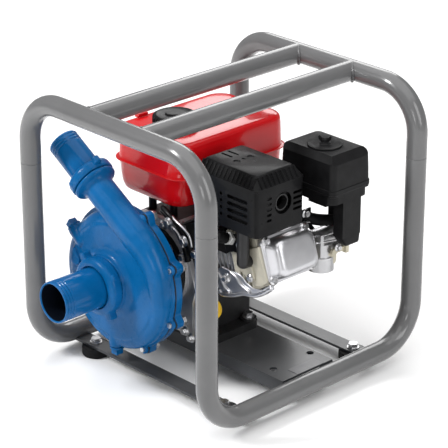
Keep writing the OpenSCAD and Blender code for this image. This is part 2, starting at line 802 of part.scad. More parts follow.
module choke_lever() color("black") translate([carb_x + 16.5, 121.5, carb_z + 8]) rotate([0, 90, 0]) {
    cylinder(h = 4, r = 5);
    translate([-26, -3, 0]) cube([26, 6, 3]);
    translate([-28, -6, 0]) cube([6, 12, 7]);
}

module fuel_valve_lever() color("beige") translate([carb_x + 21, 112, carb_z - 16]) rotate([0, 90, 0]) {
    cylinder(h = 4, r = 5);
    translate([-3, 0, 0]) cube([6, 24, 3]);
    translate([-6, 20, 0]) cube([12, 6, 7]);
}

module throttle_lever() color("dimgray") translate([-30, 4, 217]) {
    cylinder(h = 5, r = 9);
    translate([-5, -58, 1]) cube([10, 58, 3]);
    translate([-7, -64, 0]) cube([14, 12, 12]);
}

cleaner_x = [66, 172];
cleaner_y = [62, 141];
module air_cleaner_base() color("black") difference() {
    union() {
        rounded_block([cleaner_x[0] + 3, cleaner_x[1] - 3], [cleaner_y[0] + 3, cleaner_y[1] - 3], [274, 286], 12);
        block([carb_x - 20, carb_x + 20], [134, 140], [carb_z - 17, carb_z + 17]);
        block([carb_x - 17, carb_x + 17], [134, 168], [carb_z - 17, carb_z + 17]);
        block([carb_x - 17, carb_x + 17], [141, 168], [carb_z - 17, 262]);
        block([carb_x - 17, carb_x + 17], [100, 168], [250, 274]);
        block([146, 164], [92, 128], [216, 274]);
    }
    bar_y(carb_x, carb_z, 130, 160, 10);
    block([carb_x - 12, carb_x + 12], [146, 163], [carb_z - 10, 256]);
    block([carb_x - 12, carb_x + 12], [112, 163], [254, 270]);
    block([carb_x - 12, carb_x + 12], [112, 128], [260, 290]);
    block([148, 162], [94, 130], [214, 268]);
    translate([119, 100, 280]) cylinder(h = 8, r = 4);
}

module air_cleaner_cover() color("black") difference() {
    rounded_block(cleaner_x, cleaner_y, [286.3, 343], 14);
    rounded_block([cleaner_x[0] + 2.5, cleaner_x[1] - 2.5], [cleaner_y[0] + 2.5, cleaner_y[1] - 2.5],
        [286, 340.5], 11.5);
    translate([119, 100, 330]) cylinder(h = 20, r = 4.5);
}

module air_cleaner_knob() color("black") translate([119, 100, 343.3]) {
    cylinder(h = 3, r = 25);
    cylinder(h = 11, r = 9);
    translate([-3, -15, 6]) cube([6, 30, 11]);
    translate([0, 0, -53]) cylinder(h = 53, r = 3.5);
}

module muffler() color("gray") {
    difference() {
        union() {
            rounded_block([20, 122], [-40, 34], [254, 306], 14);
            translate([120, 5.5, 287]) rotate([0, 90, 0]) cylinder(h = 10, r = 12);
            translate([port_x, -31, carb_z]) cylinder(h = 59, r = 9);
            bar_y(port_x, carb_z, -31, -20.2, 9);
            translate([port_x, -31, carb_z]) sphere(9);
            for (x = [50, 92]) translate([x, 0, 305]) cylinder(h = 25.9, r = 5);
        }
        rounded_block([22, 120], [-38, 32], [256, 304], 12);
        translate([110, 5.5, 287]) rotate([0, 90, 0]) cylinder(h = 30, r = 10);
    }
}

guard_x = [10, 133];
guard_y = [-46, 46];
module guard_slots() {
    for (i = [0:3]) translate([guard_x[0] + 67, guard_y[0] - 2, 263 + i * 10]) cube([38, 8, 5]);
    for (i = [0:3]) translate([guard_x[1] - 4, 26, 270 + i * 8]) cube([8, 16, 4]);
    for (i = [0:4]) translate([guard_x[1] - 4, -24, 266 + i * 8]) cube([8, 9, 4]);
}

module muffler_guard() color("black") difference() {
    union() {
        rounded_block(guard_x, guard_y, [247, 315], 6);
        hull() {
            rounded_block([guard_x[0] - 1, guard_x[1] + 1], [guard_y[0] - 1, guard_y[1] + 1], [314, 317], 6);
            rounded_block([guard_x[0] + 10, guard_x[1] - 10], [guard_y[0] + 11, guard_y[1] - 11], [332, 333], 6);
        }
    }
    hull() {
        rounded_block([guard_x[0] + 2, guard_x[1] - 2], [guard_y[0] + 2, guard_y[1] - 2], [240, 315], 5);
        rounded_block([guard_x[0] + 12, guard_x[1] - 12], [guard_y[0] + 13, guard_y[1] - 13], [330, 331], 5);
    }
    guard_slots();
    translate([guard_x[1] - 5, 5.5, 287]) rotate([0, 90, 0]) cylinder(h = 10, r = 16);
}

module oil_filler_cap() color("gold") on_filler() {
    translate([0, 0, 12.3]) cylinder(h = 9, r = 15);
    translate([0, 0, -2]) cylinder(h = 15, r = 10);
    translate([-9, -2.5, 21]) cube([18, 5, 6]);
}

module engine_bolts() color("silver") for (x = mount_x, y = mount_y) translate([x, y, 0]) {
    translate([0, 0, plate_z - 12]) cylinder(h = 28, r = 4);
    translate([0, 0, plate_z + 16]) cylinder(h = 1.5, r = 9);
    translate([0, 0, plate_z + 17.5]) hex_head(7.2, 5.5);
    translate([0, 0, plate_z - 9.5]) hex_head(7.2, 6.5);
}

front_arch();
rear_arch();
left_rail();
right_rail();
crossbars();
base_plate();
foot_straps();
rubber_feet();
foot_bolts();
engine_bolts();
volute_casing();
casing_gasket();
pump_back_plate();
pump_bracket();
casing_bolts();
bracket_bolts();
suction_union_nut();
suction_hose_barb();
discharge_union_nut();
discharge_hose_barb();
priming_plug();
drain_plug();
impeller();
mechanical_seal();
crankcase();
crankcase_cover();
main_bearings();
crankshaft();
camshaft();
rod_small_end();
rod_big_end();
piston();
piston_rings();
wrist_pin();
cylinder_barrel();  // cylinder
cylinder_head();
valves();
rocker_arms();
valve_cover();
spark_plug();
plug_lead();
cylinder_shroud();
blower_housing();
flywheel();
ignition_coil();
recoil_housing();
recoil_pulley();
recoil_handle();
fuel_tank();
fuel_cap();
carburettor();
choke_lever();
fuel_valve_lever();
throttle_lever();
air_cleaner_base();
air_cleaner_cover();
air_cleaner_knob();
muffler();
muffler_guard();
oil_filler_cap();
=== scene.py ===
import json
import math
import random

import bmesh
import bpy
from mathutils import Matrix, Vector


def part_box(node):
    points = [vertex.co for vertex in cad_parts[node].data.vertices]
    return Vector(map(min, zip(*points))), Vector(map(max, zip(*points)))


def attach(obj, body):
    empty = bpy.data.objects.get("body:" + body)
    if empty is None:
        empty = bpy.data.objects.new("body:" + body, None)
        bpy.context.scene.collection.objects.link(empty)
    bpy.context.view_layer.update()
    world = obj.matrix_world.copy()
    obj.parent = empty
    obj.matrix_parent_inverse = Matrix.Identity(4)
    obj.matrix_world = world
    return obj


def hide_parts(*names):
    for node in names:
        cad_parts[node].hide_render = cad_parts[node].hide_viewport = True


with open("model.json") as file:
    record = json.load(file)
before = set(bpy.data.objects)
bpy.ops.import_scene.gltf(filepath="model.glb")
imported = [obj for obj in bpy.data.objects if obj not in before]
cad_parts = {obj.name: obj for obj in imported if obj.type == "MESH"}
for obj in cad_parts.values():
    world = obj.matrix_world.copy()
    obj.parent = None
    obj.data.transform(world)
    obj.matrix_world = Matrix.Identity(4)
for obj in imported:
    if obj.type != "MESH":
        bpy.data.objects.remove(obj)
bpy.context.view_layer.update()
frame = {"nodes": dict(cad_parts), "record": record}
NODES = frame["nodes"]
MM = 0.001
PI = math.pi
V = Vector

# ---------------------------------------------------------------- camera, light, floor

scene = bpy.context.scene
scene.view_settings.view_transform = "Standard"
BACK = V((0.6665, -0.6338, 0.3927)).normalized()
cam_data = bpy.data.cameras.new("camera")
cam_data.lens = 170.02
cam_data.sensor_width = 36
cam = bpy.data.objects.new("camera", cam_data)
scene.collection.objects.link(cam)
RIGHT = V((0.6891, 0.7247, 0))
UP = V((-0.2846, 0.2706, 0.9197))
cam.location = V((0, 0.021, 0.21574)) - 0.0003 * RIGHT - 0.00537 * UP + 3.00648 * BACK
cam.rotation_mode = "QUATERNION"
cam.rotation_quaternion = (-BACK).to_track_quat("-Z", "Y")
cam_data.clip_end = 50
scene.camera = cam


def area_light(name, place, size, power, target=(0, 0, 0.2), size_y=None, colour=(1, 1, 1)):
    data = bpy.data.lights.new(name, "AREA")
    data.shape = "RECTANGLE"
    data.size = size
    data.size_y = size_y or size
    data.energy = power
    data.color = colour
    light = bpy.data.objects.new(name, data)
    light.location = place
    light.rotation_mode = "QUATERNION"
    light.rotation_quaternion = (V(target) - V(place)).to_track_quat("-Z", "Y")
    scene.collection.objects.link(light)
    return light


area_light("key_left", (-1.1, -2.0, 2.0), 0.4, 60, size_y=0.9)
area_light("fill_right", (2.3, 0.2, 1.3), 1.0, 24, size_y=1.8)
area_light("overhead", (0.0, 0.0, 4.0), 6.0, 170)
area_light("front_low", (1.5, -1.9, 0.8), 0.7, 7)
area_light("back", (-1.4, 1.9, 1.6), 1.2, 18)

world = bpy.data.worlds.new("studio")
scene.world = world
world.use_nodes = True
sky = world.node_tree.nodes["Background"]
sky.inputs["Color"].default_value = (1, 1, 1, 1)
sky.inputs["Strength"].default_value = 0.3


# ---------------------------------------------------------------- materials

def node_material(name, colour, rough, metal=0.0, coat=0.0, coat_rough=0.05, vary=0.06, vary_scale=40.0,
                  grain=0.0, grain_scale=900.0, lumps=0.0, lumps_scale=90.0, rough_vary=0.08,
                  specks=None, stretch=None, dust=0.0, spec=0.5):
    """Principled material with tonal drift, roughness drift, fine grain and slow lumps in its bump."""
    m = bpy.data.materials.new(name)
    m.use_nodes = True
    nt = m.node_tree
    b = nt.nodes["Principled BSDF"]
    b.inputs["Metallic"].default_value = metal
    b.inputs["Coat Weight"].default_value = coat
    b.inputs["Specular IOR Level"].default_value = spec
    b.inputs["Coat Roughness"].default_value = coat_rough
    new, link = nt.nodes.new, nt.links.new
    tex = new("ShaderNodeTexCoord")
    src = tex.outputs["Object"]
    if stretch:
        mp = new("ShaderNodeMapping")
        mp.inputs["Scale"].default_value = stretch
        link(src, mp.inputs["Vector"])
        src = mp.outputs["Vector"]

    def noise(scale, detail=4.0, roughness=0.55):
        n = new("ShaderNodeTexNoise")
        n.inputs["Scale"].default_value = scale
        n.inputs["Detail"].default_value = detail
        n.inputs["Roughness"].default_value = roughness
        link(src, n.inputs["Vector"])
        return n.outputs["Fac"]

    def ramp(fac, a, c, pa=0.3, pc=0.7):
        r = new("ShaderNodeValToRGB")
        r.color_ramp.elements[0].position = pa
        r.color_ramp.elements[1].position = pc
        r.color_ramp.elements[0].color = (*a, 1)
        r.color_ramp.elements[1].color = (*c, 1)
        link(fac, r.inputs["Fac"])
        return r.outputs["Color"]

    drift = noise(vary_scale)
    dark = [x * (1 - vary) for x in colour]
    light = [min(1, x * (1 + vary) + 0.004) for x in colour]
    colour_out = ramp(drift, dark, light)
    if specks:
        spots = noise(specks[1], 2.0)
        mask = ramp(spots, (0, 0, 0), (1, 1, 1), specks[2], specks[2] + 0.03)
        mix = new("ShaderNodeMix")
        mix.data_type = "RGBA"
        link(mask, mix.inputs["Factor"])
        link(colour_out, mix.inputs["A"])
        mix.inputs["B"].default_value = (*specks[0], 1)
        colour_out = mix.outputs["Result"]
    if dust:
        geo = new("ShaderNodeNewGeometry")
        sep = new("ShaderNodeSeparateXYZ")
        link(geo.outputs["Normal"], sep.inputs["Vector"])
        up = ramp(sep.outputs["Z"], (0, 0, 0), (dust, dust, dust), 0.35, 1.0)
        mix = new("ShaderNodeMix")
        mix.data_type = "RGBA"
        link(up, mix.inputs["Factor"])
        link(colour_out, mix.inputs["A"])
        mix.inputs["B"].default_value = (0.42, 0.41, 0.39, 1)
        colour_out = mix.outputs["Result"]
    link(colour_out, b.inputs["Base Color"])
    rr = new("ShaderNodeMapRange")
    rr.inputs["To Min"].default_value = max(0.02, rough - rough_vary)
    rr.inputs["To Max"].default_value = min(1.0, rough + rough_vary)
    link(noise(vary_scale * 2.3), rr.inputs["Value"])
    link(rr.outputs["Result"], b.inputs["Roughness"])
    normal = None
    for strength, scale, depth in ((lumps, lumps_scale, 0.0012), (grain, grain_scale, 0.0003)):
        if strength:
            bump = new("ShaderNodeBump")
            bump.inputs["Strength"].default_value = strength
            bump.inputs["Distance"].default_value = depth
            link(noise(scale, 3.0), bump.inputs["Height"])
            if normal:
                link(normal, bump.inputs["Normal"])
            normal = bump.outputs["Normal"]
    if normal:
        link(normal, b.inputs["Normal"])
    return m


MAT = {
    "frame": node_material("frame_grey", (0.115, 0.115, 0.117), 0.24, coat=0.45, coat_rough=0.1, spec=0.35,
                           vary=0.05,
                           vary_scale=14, grain=0.12, grain_scale=420, rough_vary=0.05),
    "weld": node_material("weld_grey", (0.1, 0.1, 0.103), 0.34, coat=0.3, coat_rough=0.15, vary=0.12,
                          vary_scale=120, grain=0.5, grain_scale=500),
    "plate": node_material("plate_dark", (0.026, 0.028, 0.032), 0.33, spec=0.3, coat=0.12, coat_rough=0.15,
                           vary=0.12,
                           vary_scale=22, grain=0.15, grain_scale=500, dust=0.07),
    "rubber": node_material("rubber_black", (0.005, 0.005, 0.0055), 0.55, spec=0.1, vary=0.2, vary_scale=60,
                            grain=0.5,
                            grain_scale=1200),
    "zinc": node_material("zinc_steel", (0.56, 0.56, 0.57), 0.3, metal=1.0, vary=0.12, vary_scale=160,
                          grain=0.25, grain_scale=1500, rough_vary=0.1),
    "blue": node_material("pump_blue", (0.0, 0.09, 0.26), 0.28, coat=0.16, coat_rough=0.12, spec=0.08,
                          vary=0.14,
                          vary_scale=26, grain=0.8, grain_scale=520, lumps=0.3, lumps_scale=60,
                          rough_vary=0.09),
    "barb_blue": node_material("barb_blue", (0.0, 0.092, 0.27), 0.22, coat=0.22, coat_rough=0.04, spec=0.1,
                               vary=0.08,
                               vary_scale=30, grain=0.2, grain_scale=500, lumps=0.06, lumps_scale=50),
    "black_paint": node_material("black_paint", (0.004, 0.004, 0.0045), 0.3, coat=0.1, coat_rough=0.1, spec=0.1,
                                 vary=0.2, grain=0.4, grain_scale=600),
    "black_sheet": node_material("black_sheet", (0.004, 0.004, 0.0045), 0.3, coat=0.06, coat_rough=0.08,
                                 spec=0.07,
                                 vary=0.25, vary_scale=30, grain=0.45, grain_scale=1300),
    "plastic": node_material("black_plastic", (0.004, 0.004, 0.0045), 0.33, spec=0.1, coat=0.06,
                             coat_rough=0.1, vary=0.2, vary_scale=50, grain=0.55,
                             grain_scale=1500, rough_vary=0.06),
    "iron": node_material("cast_iron", (0.12, 0.12, 0.12), 0.5, metal=0.8, vary=0.2, grain=0.6,
                          grain_scale=700),
    "steel": node_material("machined_steel", (0.5, 0.5, 0.51), 0.25, metal=1.0, vary=0.08, grain=0.2,
                           grain_scale=900),
    "alu": node_material("cast_aluminium", (0.5, 0.5, 0.51), 0.38, metal=0.9, vary=0.1, vary_scale=45,
                         grain=0.3, grain_scale=1100, lumps=0.04, lumps_scale=140, rough_vary=0.09),
    "alu_bright": node_material("bright_aluminium", (0.58, 0.58, 0.6), 0.33, metal=0.96, vary=0.06,
                                vary_scale=30, grain=0.1, grain_scale=900, rough_vary=0.05),
    "case": node_material("case_dark", (0.02, 0.02, 0.021), 0.36, metal=0.3, spec=0.25, vary=0.2, vary_scale=35,
                          grain=0.7, grain_scale=900, lumps=0.1, lumps_scale=120),
    "head": node_material("head_grey", (0.44, 0.415, 0.34), 0.42, metal=0.15, vary=0.12, vary_scale=60,
                          grain=0.7, grain_scale=900),
    "ceramic": node_material("white_ceramic", (0.8, 0.8, 0.78), 0.2, coat=0.6, vary=0.04, grain=0.05),
    "red": node_material("tank_red", (0.54, 0.002, 0.005), 0.2, coat=0.45, coat_rough=0.03, spec=0.12,
                         vary=0.05,
                         vary_scale=12, grain=0.05, grain_scale=300, rough_vary=0.04),
    "cream": node_material("cream_plastic", (0.5, 0.46, 0.35), 0.4, vary=0.07, grain=0.3, grain_scale=1200),
    "yellow": node_material("yellow_plastic", (0.85, 0.52, 0.01), 0.35, vary=0.06, grain=0.2,
                            grain_scale=1200),
    "brass": node_material("brass", (0.62, 0.42, 0.12), 0.3, metal=1.0, vary=0.1, grain=0.2),
    "label": node_material("blank_label", (0.075, 0.075, 0.08), 0.35, metal=0.1, vary=0.05, grain=0.1),
    # near-black blue for the bore sleeves: painted shade that stands for the shadow deep inside the bores
    "bore": node_material("bore_shadow", (0.001, 0.003, 0.008), 0.6, spec=0.05, vary=0.2),
    "dark_steel": node_material("dark_steel", (0.03, 0.03, 0.031), 0.4, metal=0.7, vary=0.2, grain=0.4),
    "dark": node_material("gasket_dark", (0.01, 0.01, 0.011), 0.7, vary=0.3, grain=0.4),
}
SLOT_MAT = {"frame": "frame", "plate": "plate", "rubber": "rubber", "zinc_steel": "zinc", "pump_paint": "blue",
            "gasket": "dark", "black_paint": "black_paint", "cast_iron": "iron", "steel": "steel",
            "cast_aluminium": "alu", "ceramic": "ceramic", "lead_rubber": "rubber",
            "black_sheet": "black_sheet",
            "black_plastic": "plastic", "tank_paint": "red", "cream_plastic": "cream",
            "yellow_plastic": "yellow"}
NODE_MAT = {"crankcase": "case", "crankcase_cover": "alu", "cylinder_head": "head", "muffler": "dark_steel",
            "ignition_coil": "plastic", "recoil_pulley": "steel"}
NODE_SLOT = {s["node"]: s["material_slot"] for s in frame["record"]["subparts"]}
NODE_BODY = {n: b for b, ns in frame["record"]["behaviour"]["bodies"].items() for n in ns}
for node_name, o in NODES.items():
    m = MAT[NODE_MAT.get(node_name, SLOT_MAT[NODE_SLOT[node_name]])]
    o.data.materials.clear()
    o.data.materials.append(m)


# ---------------------------------------------------------------- mesh tools

def link_mesh(name, bm, material, body, replaces=(), smooth=True):
    """Turns a bmesh into a piece that rides on a body."""
    bmesh.ops.recalc_face_normals(bm, faces=bm.faces)
    me = bpy.data.meshes.new(name)
    bm.to_mesh(me)
    bm.free()
    o = bpy.data.objects.new(name, me)
    scene.collection.objects.link(o)
    me.materials.append(MAT[material])
    if smooth:
        me.polygons.foreach_set("use_smooth", [True] * len(me.polygons))
    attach(o, body)
    if replaces:
        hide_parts(*replaces)
    return o


def apply_mods(o):
    deps = bpy.context.evaluated_depsgraph_get()
    deps.update()
    me = bpy.data.meshes.new_from_object(o.evaluated_get(deps))
    old = o.data
    o.modifiers.clear()
    o.data = me
    me.name = o.name
    bpy.data.meshes.remove(old)
    return o


def shade_by_angle(o, angle=32):
    """Smooth faces with sharp edges wherever two faces meet at more than the angle."""
    me = o.data
    bm = bmesh.new()
    bm.from_mesh(me)
    limit = math.radians(angle)
    for f in bm.faces:
        f.smooth = True
    for e in bm.edges:
        e.smooth = len(e.link_faces) == 2 and e.calc_face_angle(0) < limit
    bm.to_mesh(me)
    bm.free()


def round_edges(o, width, segments=2, angle=35):
    """Rounds every edge sharper than the angle, then keeps the shading flat beside the rounds."""
    b = o.modifiers.new("round", "BEVEL")
    b.width = width
    b.segments = segments
    b.limit_method = "ANGLE"
    b.angle_limit = math.radians(angle)
    b.harden_normals = False
    b.use_clamp_overlap = True
    w = o.modifiers.new("weight", "WEIGHTED_NORMAL")
    w.keep_sharp = True
    apply_mods(o)
    return o


def node_bmesh(node):
    """The CAD node's mesh with its coplanar triangles merged back into whole faces."""
    bm = bmesh.new()
    bm.from_mesh(NODES[node].data)
    bmesh.ops.remove_doubles(bm, verts=bm.verts, dist=2e-6)
    bmesh.ops.dissolve_limit(bm, angle_limit=math.radians(0.6), verts=bm.verts, edges=bm.edges)
    return bm


def softened(node, width=0.6 * MM, segments=2, material=None, name=None):
    """A copy of a CAD node with its edges rounded, which stands for the node."""
    material = material or NODE_MAT.get(node, SLOT_MAT[NODE_SLOT[node]])
    o = link_mesh(name or node + "_skin", node_bmesh(node), material, NODE_BODY[node],
                  (node,))
    round_edges(o, width, segments)
    return o


def rot_to(axis):
    return V(axis).normalized().to_track_quat("Z", "Y").to_matrix().to_4x4()


def place(origin, axis, spin=0.0):
    return Matrix.Translation(V(origin)) @ rot_to(axis) @ Matrix.Rotation(spin, 4, "Z")


def lathe(profile, origin, axis, segments=64, bm=None):
    """Turns a closed profile of (radius, distance along the axis) about the axis."""
    bm = bm or bmesh.new()
    mat = place(origin, axis)
    rings = []
    for r, t in profile:
        if r < 1e-7:
            rings.append([bm.verts.new(mat @ V((0, 0, t)))] * segments)
        else:
            rings.append([bm.verts.new(mat @ V((r * math.cos(2 * PI * k / segments),
                                                r * math.sin(2 * PI * k / segments), t)))
                          for k in range(segments)])
    count = len(rings)
    for i in range(count):
        a, b = rings[i], rings[(i + 1) % count]
        for k in range(segments):
            quad = [a[k], a[(k + 1) % segments], b[(k + 1) % segments], b[k]]
            quad = list(dict.fromkeys(quad))
            if len(quad) > 2:
                bm.faces.new(quad)
    return bm


def solid_profile(points):
    """Closes a lathe profile onto its axis at both ends."""
    return [(0, points[0][1])] + list(points) + [(0, points[-1][1])]


def rounded(points, r, steps=4):
    """Rounds the corners of a polyline of (radius, distance) pairs; r is one number or a list."""
    out = [points[0]]
    for i in range(1, len(points) - 1):
        ri = r[i] if isinstance(r, (list, tuple)) else r
        p0, p1, p2 = (V(points[j]) for j in (i - 1, i, i + 1))
        d0, d2 = p0 - p1, p2 - p1
        k = min(ri, d0.length * 0.45, d2.length * 0.45)
        if k < 1e-6:
            out.append(tuple(p1))
            continue
        a, c = p1 + d0.normalized() * k, p1 + d2.normalized() * k
        for s in range(steps + 1):
            t = s / steps
            q = a * (1 - t) ** 2 + p1 * 2 * t * (1 - t) + c * t * t
            out.append(tuple(q))
    out.append(points[-1])
    return out


def frames_along(points, up=None):
    """Rotation-minimising frames along a polyline."""
    pts = [V(p) for p in points]
    tangents = []
    for i in range(len(pts)):
        t = pts[min(i + 1, len(pts) - 1)] - pts[max(i - 1, 0)]
        tangents.append(t.normalized())
    ref = V(up) if up else (V((0, 0, 1)) if abs(tangents[0].z) < 0.9 else V((1, 0, 0)))
    u = (ref - tangents[0] * ref.dot(tangents[0])).normalized()
    out = []
    for i, t in enumerate(tangents):
        if i:
            u = (u - t * u.dot(t)).normalized()
        out.append((pts[i], u.copy(), t.cross(u).normalized(), t))
    return out


def sweep(points, section, bm=None, up=None, scales=None, closed=False):
    """Sweeps a closed flat section of (u, v) points along a polyline and caps its ends."""
    bm = bm or bmesh.new()
    rings = []
    for i, (p, u, v, _t) in enumerate(frames_along(points, up)):
        k = scales[i] if scales else 1.0
        rings.append([bm.verts.new(p + u * (a * k) + v * (b * k)) for a, b in section])
    n = len(section)
    for i in range(len(rings) - (0 if closed else 1)):
        a, b = rings[i], rings[(i + 1) % len(rings)]
        for k in range(n):
            bm.faces.new((a[k], a[(k + 1) % n], b[(k + 1) % n], b[k]))
    if not closed:
        bm.faces.new(rings[0][::-1])
        bm.faces.new(rings[-1])
    return bm


def circle(r, n=24):
    return [(r * math.cos(2 * PI * k / n), r * math.sin(2 * PI * k / n)) for k in range(n)]


def smooth_path(points, per=10):
    """Catmull-Rom curve through the points."""
    pts = [V(p) for p in points]
    ext = [pts[0] * 2 - pts[1]] + pts + [pts[-1] * 2 - pts[-2]]
    out = []
    for i in range(1, len(ext) - 2):
        a, b, c, d = ext[i - 1:i + 3]
        for s in range(per):
            t = s / per
            out.append(0.5 * ((2 * b) + (c - a) * t + (2 * a - 5 * b + 4 * c - d) * t * t
                              + (3 * b - a - 3 * c + d) * t ** 3))
    out.append(pts[-1])
    return out


def prism(outline, origin, axis, height, bm=None, spin=0.0, top_inset=0.0, top_height=0.0):
    """Extrudes a flat outline along an axis, with an optional chamfered top."""
    bm = bm or bmesh.new()
    mat = place(origin, axis, spin)
    cx = sum(p[0] for p in outline) / len(outline)
    cy = sum(p[1] for p in outline) / len(outline)
    levels = [(0, 0), (height - top_height, 0)]
    if top_height:
        levels.append((height, top_inset))
    rings = []
    for z, inset in levels:
        ring = []
        for x, y in outline:
            d = V((x - cx, y - cy))
            k = 1 - inset / d.length if d.length else 1
            ring.append(bm.verts.new(mat @ V((cx + d.x * k, cy + d.y * k, z))))
        rings.append(ring)
    n = len(outline)
    for a, b in zip(rings, rings[1:]):
        for k in range(n):
            bm.faces.new((a[k], a[(k + 1) % n], b[(k + 1) % n], b[k]))
    bm.faces.new(rings[0][::-1])
    bm.faces.new(rings[-1])
    return bm


def box_bm(lo, hi, bm=None, mat=None):
    bm = bm or bmesh.new()
    lo, hi = V(lo), V(hi)
    vs = [bm.verts.new((mat or Matrix()) @ V((x, y, z)))
          for x in (lo.x, hi.x) for y in (lo.y, hi.y) for z in (lo.z, hi.z)]
    for f in ((0, 1, 3, 2), (4, 6, 7, 5), (0, 4, 5, 1), (2, 3, 7, 6), (0, 2, 6, 4), (1, 5, 7, 3)):
        bm.faces.new([vs[i] for i in f])
    return bm


def superellipse(w, d, r, n=8):
    """Rectangle outline w by d about its middle with corner radius r."""
    out = []
    for cx, cy, a0 in ((w / 2 - r, d / 2 - r, 0), (-w / 2 + r, d / 2 - r, 90), (-w / 2 + r, -d / 2 + r, 180),
                       (w / 2 - r, -d / 2 + r, 270)):
        for k in range(n + 1):
            a = math.radians(a0 + 90 * k / n)
            out.append((cx + r * math.cos(a), cy + r * math.sin(a)))
    return out


def fused(o, voxel, passes, factor=0.5):
    """Melts a piece's overlapping closed shells into one skin with soft fillets."""
    r = o.modifiers.new("melt", "REMESH")
    r.mode = "VOXEL"
    r.voxel_size = voxel
    r.use_smooth_shade = True
    s = o.modifiers.new("soft", "SMOOTH")
    s.iterations = passes
    s.factor = factor
    return apply_mods(o)


def cut(o, cutter_bm, soften=0):
    """Cuts a closed shape out of a piece."""
    bmesh.ops.recalc_face_normals(cutter_bm, faces=cutter_bm.faces)
    me = bpy.data.meshes.new("cutter")
    cutter_bm.to_mesh(me)
    cutter_bm.free()
    c = bpy.data.objects.new("cutter", me)
    scene.collection.objects.link(c)
    b = o.modifiers.new("cut", "BOOLEAN")
    b.operation = "DIFFERENCE"
    b.solver = "EXACT"
    b.object = c
    apply_mods(o)
    bpy.data.objects.remove(c)
    return o


def hex_bolt(bm, origin, axis, af=10 * MM, height=5 * MM, washer=None, spin=0.0, flange=None):
    """Hexagon head with a chamfered crown, on a washer or a flange."""
    base = 0.0
    if washer:
        lathe(solid_profile([(washer, 0), (washer, 1.0 * MM), (washer - 0.4 * MM, 1.3 * MM)]), origin, axis,
              32, bm)
        base = 1.3 * MM
    if flange:
        lathe(solid_profile([(flange, 0), (flange, 0.8 * MM), (af * 0.56, 2.2 * MM)]), origin, axis, 32, bm)
        base = 1.2 * MM
    r = af / math.sqrt(3)
    mat = place(origin, axis, spin)
    levels = [(base, r), (base + height - 0.8 * MM, r), (base + height, r * 0.86)]
    n = 6
    rings = [[bm.verts.new(mat @ V((rr * math.cos(2 * PI * k / n), rr * math.sin(2 * PI * k / n), z)))
              for k in range(n)] for z, rr in levels]
    for a, b in zip(rings, rings[1:]):
        for k in range(n):
            bm.faces.new((a[k], a[(k + 1) % n], b[(k + 1) % n], b[k]))
    bm.faces.new(rings[0][::-1])
    bm.faces.new(rings[-1])
    return bm


# ---------------------------------------------------------------- datums read from the frame

def lohi(node):
    lo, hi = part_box(node)
    return V(lo), V(hi)


fa_lo, fa_hi = lohi("front_arch")
ra_lo, ra_hi = lohi("rear_arch")
lr_lo, lr_hi = lohi("left_rail")
cb_lo, cb_hi = lohi("crossbars")
TUBE_R = (fa_hi.y - fa_lo.y) / 2
FRONT_Y = (fa_lo.y + fa_hi.y) / 2
REAR_Y = (ra_lo.y + ra_hi.y) / 2
LEG_X = fa_hi.x - TUBE_R
TOP_Z = fa_hi.z - TUBE_R
RAIL_Z = lr_lo.z + TUBE_R
SEAM_Z = lr_hi.z
BEND_R = 64 * MM
sh_lo, sh_hi = lohi("impeller")
CX = (sh_lo.x + sh_hi.x) / 2
CZ = (sh_lo.z + sh_hi.z) / 2


# ---------------------------------------------------------------- frame tubes

def arc_points(centre, a0, a1, r, u, v, n=18):
    c = V(centre)
    return [c + V(u) * (r * math.cos(a)) + V(v) * (r * math.sin(a))
            for a in (a0 + (a1 - a0) * k / n for k in range(n + 1))]


def u_path(middle, along, up, span, rise):
    """Path of a bent tube: up one leg, round a bend, across and down the other leg."""
    m, a, w = V(middle), V(along), V(up)
    h = span / 2
    pts = [m - a * h + w * rise]
    pts += arc_points(m - a * (h - BEND_R) + w * BEND_R, PI, 1.5 * PI, BEND_R, a, w)
    pts += arc_points(m + a * (h - BEND_R) + w * BEND_R, 1.5 * PI, 2 * PI, BEND_R, a, w)
    pts.append(m + a * h + w * rise)
    return pts


def tube_piece(name, node, pts, up):
    inner = pts[1:-1]
    lead = [pts[0], pts[0] + (inner[0] - pts[0]).normalized() * 0.5 * MM]
    tail = [pts[-1] + (inner[-1] - pts[-1]).normalized() * 0.5 * MM, pts[-1]]
    scales = [0.965, 1.0] + [1.0] * len(inner) + [1.0, 0.965]
    bm = sweep(lead + inner + tail, circle(TUBE_R, 40), up=up, scales=scales)
    o = link_mesh(name, bm, "frame", "machine", (node,))
    shade_by_angle(o, 28)
    return o


for name, node, y in (("front_hoop", "front_arch", FRONT_Y), ("rear_hoop", "rear_arch", REAR_Y)):
    tube_piece(name, node, u_path((0, y, TOP_Z), (1, 0, 0), (0, 0, -1), 2 * LEG_X, TOP_Z - SEAM_Z), (0, 1, 0))
for name, node, x in (("left_hoop", "left_rail", -LEG_X), ("right_hoop", "right_rail", LEG_X)):
    tube_piece(name, node, u_path((x, (FRONT_Y + REAR_Y) / 2, RAIL_Z), (0, 1, 0), (0, 0, 1),
                                  REAR_Y - FRONT_Y, SEAM_Z - RAIL_Z), (1, 0, 0))

CROSS_X = (cb_lo.x + TUBE_R, cb_hi.x - TUBE_R)
bm = bmesh.new()
for x in CROSS_X:
    sweep([V((x, FRONT_Y + 4 * MM, TOP_Z)), V((x, 0, TOP_Z)), V((x, REAR_Y - 4 * MM, TOP_Z))],
          circle(TUBE_R, 40), bm=bm)
o = link_mesh("cross_tubes", bm, "frame", "machine", ("crossbars",))
shade_by_angle(o, 28)


def bead(bm, points, r, seed, closed=True):
    """Weld bead: a rippled rope laid along a closed or open line."""
    draw = random.Random(seed)
    scales, pts = [], []
    for i, p in enumerate(points):
        ripple = 1 + 0.22 * math.sin(i * 2.1) + draw.uniform(-0.08, 0.08)
        scales.append(ripple)
        pts.append(p)
    sweep(pts, circle(r, 10), bm=bm, scales=scales, closed=closed)


